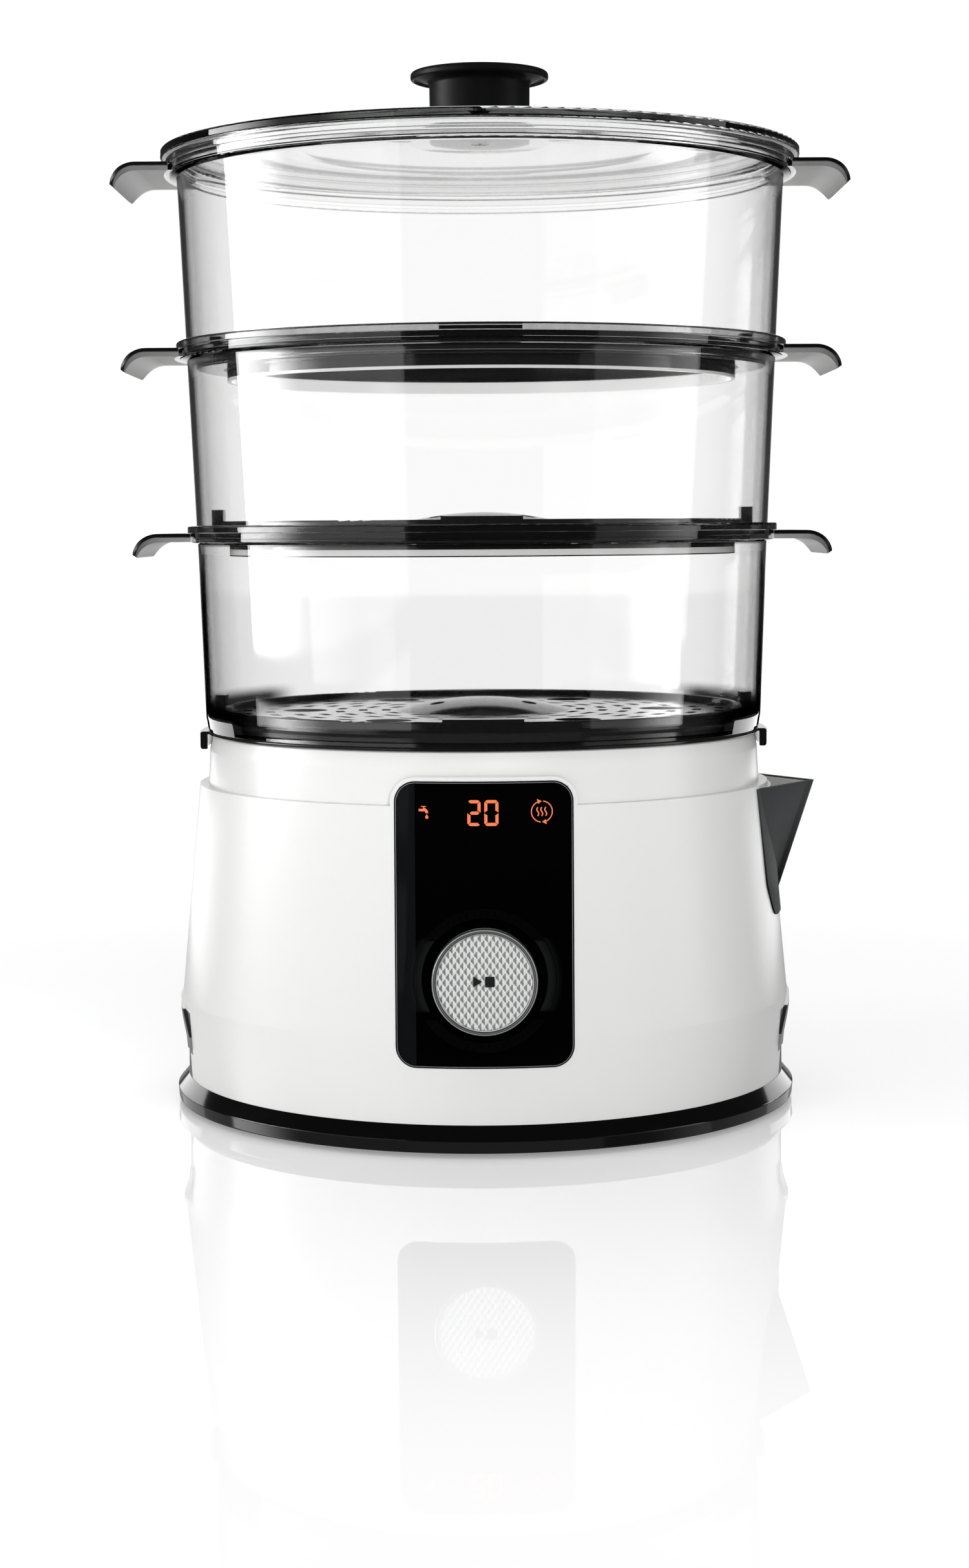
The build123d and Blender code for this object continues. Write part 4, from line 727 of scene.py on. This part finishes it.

# ---- Filling spout ----------------------------------------------------------------------------
# Dark grey beak with a fine spark-eroded grain; painted light makes it paler towards its brim.  It is clipped
# over a chute, whose pale grey is painted light for the lit inside of the spout; the chute runs through the
# housing into the tank.
BEAK_SHADE_HEIGHT, BEAK_LIGHT_HEIGHT = 0.092, 0.133
paint = plastic("spout_grey", (0.007, 0.008, 0.009), 0.50, grain=1300.0, depth=0.00006, flow=0.05,
                shine=0.03)
tree = paint.node_tree
x, y, z, radius = places(tree)
# Painted light: the colour grows paler up the beak to its brim.
tint(paint, ramp(tree, z, BEAK_SHADE_HEIGHT, BEAK_LIGHT_HEIGHT, 0.0, 0.9), (0.052, 0.055, 0.056))
dress(paint, "fill_spout")
# Painted light: the chute's pale grey stands for the lit inside of the spout.
dress(plastic("chute_painted_light_grey", (0.60, 0.60, 0.59), 0.35), "spout_liner")

# ---- Drip tray and perforated bottoms ---------------------------------------------------------
# Black polypropylene, polished on the plates.  Pale bands painted round the skirts of the two upper
# bottoms are painted reflections on their rounded lower edges.


def tray_black(name):
    """Polished black polypropylene."""
    return plastic(name, (0.006, 0.006, 0.006), 0.10, grain=1100.0, depth=0.000006, flow=0.04, marks=0.02)


def painted_reflection_band():
    """Painted reflection: thin pale band round the upright axis, at a radius and between two heights."""
    group, given, made = effect("painted_reflection_band",
                                {"Colour": "Color", "Radius": "Float", "Low": "Float", "High": "Float"},
                                {"Colour": "Color", "Mask": "Float"})
    x, y, z, radius = places(group)
    soft = 0.0002
    off = calculate(group, "ABSOLUTE", calculate(group, "SUBTRACT", radius, given.outputs["Radius"]))
    under = calculate(group, "SUBTRACT", given.outputs["Low"], z)
    above = calculate(group, "SUBTRACT", z, given.outputs["High"])
    mask = overlap(group, ramp(group, off, soft, 2 * soft, 1.0, 0.0),
                   ramp(group, under, 0.0, soft, 1.0, 0.0), ramp(group, above, 0.0, soft, 1.0, 0.0))
    join(group, mix(group, mask, given.outputs["Colour"], (0.82, 0.82, 0.81, 1)), made.inputs["Colour"])
    join(group, mask, made.inputs["Mask"])
    return group


PAINTED_REFLECTION_BAND = painted_reflection_band()


def add_band(paint, name, radius, low, high):
    """Painted reflection band on a tray's skirt; low and high are above the tray's foot.  Gives its mask."""
    tree = paint.node_tree
    base = tree.nodes["Principled BSDF"].inputs["Base Color"]
    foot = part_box(name)[0][2]
    band = use(tree, PAINTED_REFLECTION_BAND, Colour=base.links[0].from_socket, Radius=radius,
               Low=foot + low, High=foot + high)
    join(tree, band.outputs["Colour"], base)
    return band.outputs["Mask"]


dress(tray_black("tray_black"), "drip_tray", "tray_bottom")
paint = tray_black("tray_middle_black")
add_band(paint, "tray_middle", 0.1082, 0.0006, 0.0028)
dress(paint, "tray_middle")
# Painted light: the top one's inner band glows, so that it shows bright through the bowl's wall.
paint = tray_black("tray_top_black")
add_band(paint, "tray_top", 0.1082, 0.0001, 0.0010)
inner_glow_band = add_band(paint, "tray_top", 0.1062, 0.0, 0.0050)
tree = paint.node_tree
surface = tree.nodes["Principled BSDF"]
join(tree, mix(tree, inner_glow_band, (0, 0, 0, 1), (0.55, 0.55, 0.55, 1)), surface.inputs["Emission Color"])
join(tree, 1.0, surface.inputs["Emission Strength"])
dress(paint, "tray_top")

# ---- Bowls and lid ----------------------------------------------------------------------------
# Injection-moulded clear polycarbonate with a smoky tint that shows in the thick rims; under the rims of the
# two lower bowls a band of painted shade darkens it further.  The handles of the bowls are grained in the
# tool, and the shade along their bend is painted as a dark line.


def polish_haze():
    """Clear plastic: a polish that varies a little over the wall."""
    group, given, made = effect("polish_haze", {"Roughness": "Float"}, {"Roughness": "Float"})
    haze = ramp(group, noise(group, 26.0, 3.0), 0.0, 1.0, 0.4, 1.6)
    join(group, calculate(group, "MULTIPLY", haze, given.outputs["Roughness"]), made.inputs["Roughness"])
    return group


# Painted shade: the dark foot of the lowest bowl fades out over these heights, and towards the middle.
FOOT_SHADE = (0.1700, 0.1760)
FOOT_SIDES = (0.085, 0.100)
# The foot of the rim's band of painted shade, from the rim; the centre of the handles' bend, from their tip
# and from the rim; and the radius over which the painted dark line of shade along the bend begins.
RIM_SHADE_BAND = (-0.0090, -0.0080)
BEND_FROM_TIP, BEND_FROM_RIM = -0.0110, -0.0145
BEND_SHADE_LINE = (0.0093, 0.0099)


def bowl_zones():
    """Clear bowl: painted shade on the foot and in a band under the rim, and grained handles with a painted
    dark line of shade along their bend.
    """
    group, given, made = effect(
        "bowl_zones",
        {"Colour": "Color", "Roughness": "Float", "Rim Height": "Float", "Rim Radius": "Float",
         "Handle Reach": "Float", "Rim Smoke": "Float"},
        {"Colour": "Color", "Roughness": "Float"})
    x, y, z, radius = places(group)
    beside = calculate(group, "ABSOLUTE", x)
    beyond = calculate(group, "SUBTRACT", radius, given.outputs["Rim Radius"])
    above = calculate(group, "SUBTRACT", z, given.outputs["Rim Height"])
    foot = overlap(group, ramp(group, z, *FOOT_SHADE, 1.0, 0.0), ramp(group, beside, *FOOT_SIDES, 0.0, 1.0))
    rim = overlap(group, ramp(group, above, *RIM_SHADE_BAND, 0.0, 1.0),
                  ramp(group, beyond, -0.0001, 0.0003, 1.0, 0.0), given.outputs["Rim Smoke"])
    handle = ramp(group, beyond, 0.0003, 0.0008, 0.0, 1.0)
    to_tip = past(group, calculate(group, "SUBTRACT", beside, given.outputs["Handle Reach"]), BEND_FROM_TIP)
    to_rim = past(group, above, BEND_FROM_RIM)
    bend = ramp(group, hypotenuse(group, to_tip, to_rim), *BEND_SHADE_LINE, 0.0, 1.0)
    # Painted shade: the foot of the lowest bowl is darkened at its sides.
    colour = mix(group, foot, given.outputs["Colour"], (0.03, 0.03, 0.03, 1))
    # Painted shade: the band under the rim, for the two lower bowls.
    colour = mix(group, rim, colour, (0.40, 0.40, 0.40, 1))
    colour = mix(group, handle, colour, (0.90, 0.90, 0.89, 1))
    # Painted shade: a black line along the handles' bend.
    colour = mix(group, overlap(group, bend, handle), colour, (0, 0, 0, 1))
    rough = calculate(group, "ADD", given.outputs["Roughness"], calculate(group, "MULTIPLY", handle, 0.40))
    join(group, colour, made.inputs["Colour"])
    join(group, rough, made.inputs["Roughness"])
    return group


POLISH_HAZE = polish_haze()
BOWL_ZONES = bowl_zones()


def clear_polycarbonate(name):
    """Clear plastic with painted shade where its wall is seen edge-on, and smoke that gathers in thick
    places.
    """
    paint = bpy.data.materials.new(name)
    paint.use_nodes = True
    tree = paint.node_tree
    surface = tree.nodes["Principled BSDF"]
    join(tree, 1.0, surface.inputs["Transmission Weight"])
    join(tree, 1.42, surface.inputs["IOR"])
    haze = use(tree, POLISH_HAZE, Roughness=0.03)
    join(tree, haze.outputs["Roughness"], surface.inputs["Roughness"])
    grazing = tree.nodes.new("ShaderNodeLayerWeight")
    join(tree, 0.5, grazing.inputs["Blend"])
    edge_on_shade = calculate(tree, "POWER", grazing.outputs["Facing"], 10.0)
    wall = mix(tree, edge_on_shade, (0.995, 0.995, 0.994, 1), (0.02, 0.021, 0.021, 1))
    join(tree, wall, surface.inputs["Base Color"])
    smoke = tree.nodes.new("ShaderNodeVolumeAbsorption")
    join(tree, (0.10, 0.11, 0.11, 1), smoke.inputs["Color"])
    join(tree, 9.0, smoke.inputs["Density"])
    join(tree, smoke.outputs[0], tree.nodes["Material Output"].inputs["Volume"])
    return paint


for name, rim_height, rim_radius, handle_reach, rim_shade in (
        ("bowl_bottom", 0.2470, 0.1261, 0.1467, 1.0),
        ("bowl_middle", 0.3239, 0.1297, 0.1503, 1.0),
        ("bowl_top", 0.4000, 0.1329, 0.1535, 0.0)):
    paint = clear_polycarbonate(f"{name}_polycarbonate")
    tree = paint.node_tree
    surface = tree.nodes["Principled BSDF"]
    zones = use(tree, BOWL_ZONES, Colour=surface.inputs["Base Color"].links[0].from_socket,
                Roughness=surface.inputs["Roughness"].links[0].from_socket, Rim_Height=rim_height,
                Rim_Radius=rim_radius, Handle_Reach=handle_reach, Rim_Smoke=rim_shade)
    join(tree, zones.outputs["Colour"], surface.inputs["Base Color"])
    join(tree, zones.outputs["Roughness"], surface.inputs["Roughness"])
    dress(paint, name)
    nodes[name].visible_shadow = False
dress(clear_polycarbonate("lid_polycarbonate"), "lid_shell")
nodes["lid_shell"].visible_shadow = False

# ---- Lid knob ---------------------------------------------------------------------------------
# Satin black phenolic knob with a dished top.  It stands on the lid's middle and is held from
# below by one screw.
dress(plastic("knob_black", (0.004, 0.004, 0.0045), 0.42, grain=1500.0, depth=0.00003, shine=0.15),
      "lid_knob")
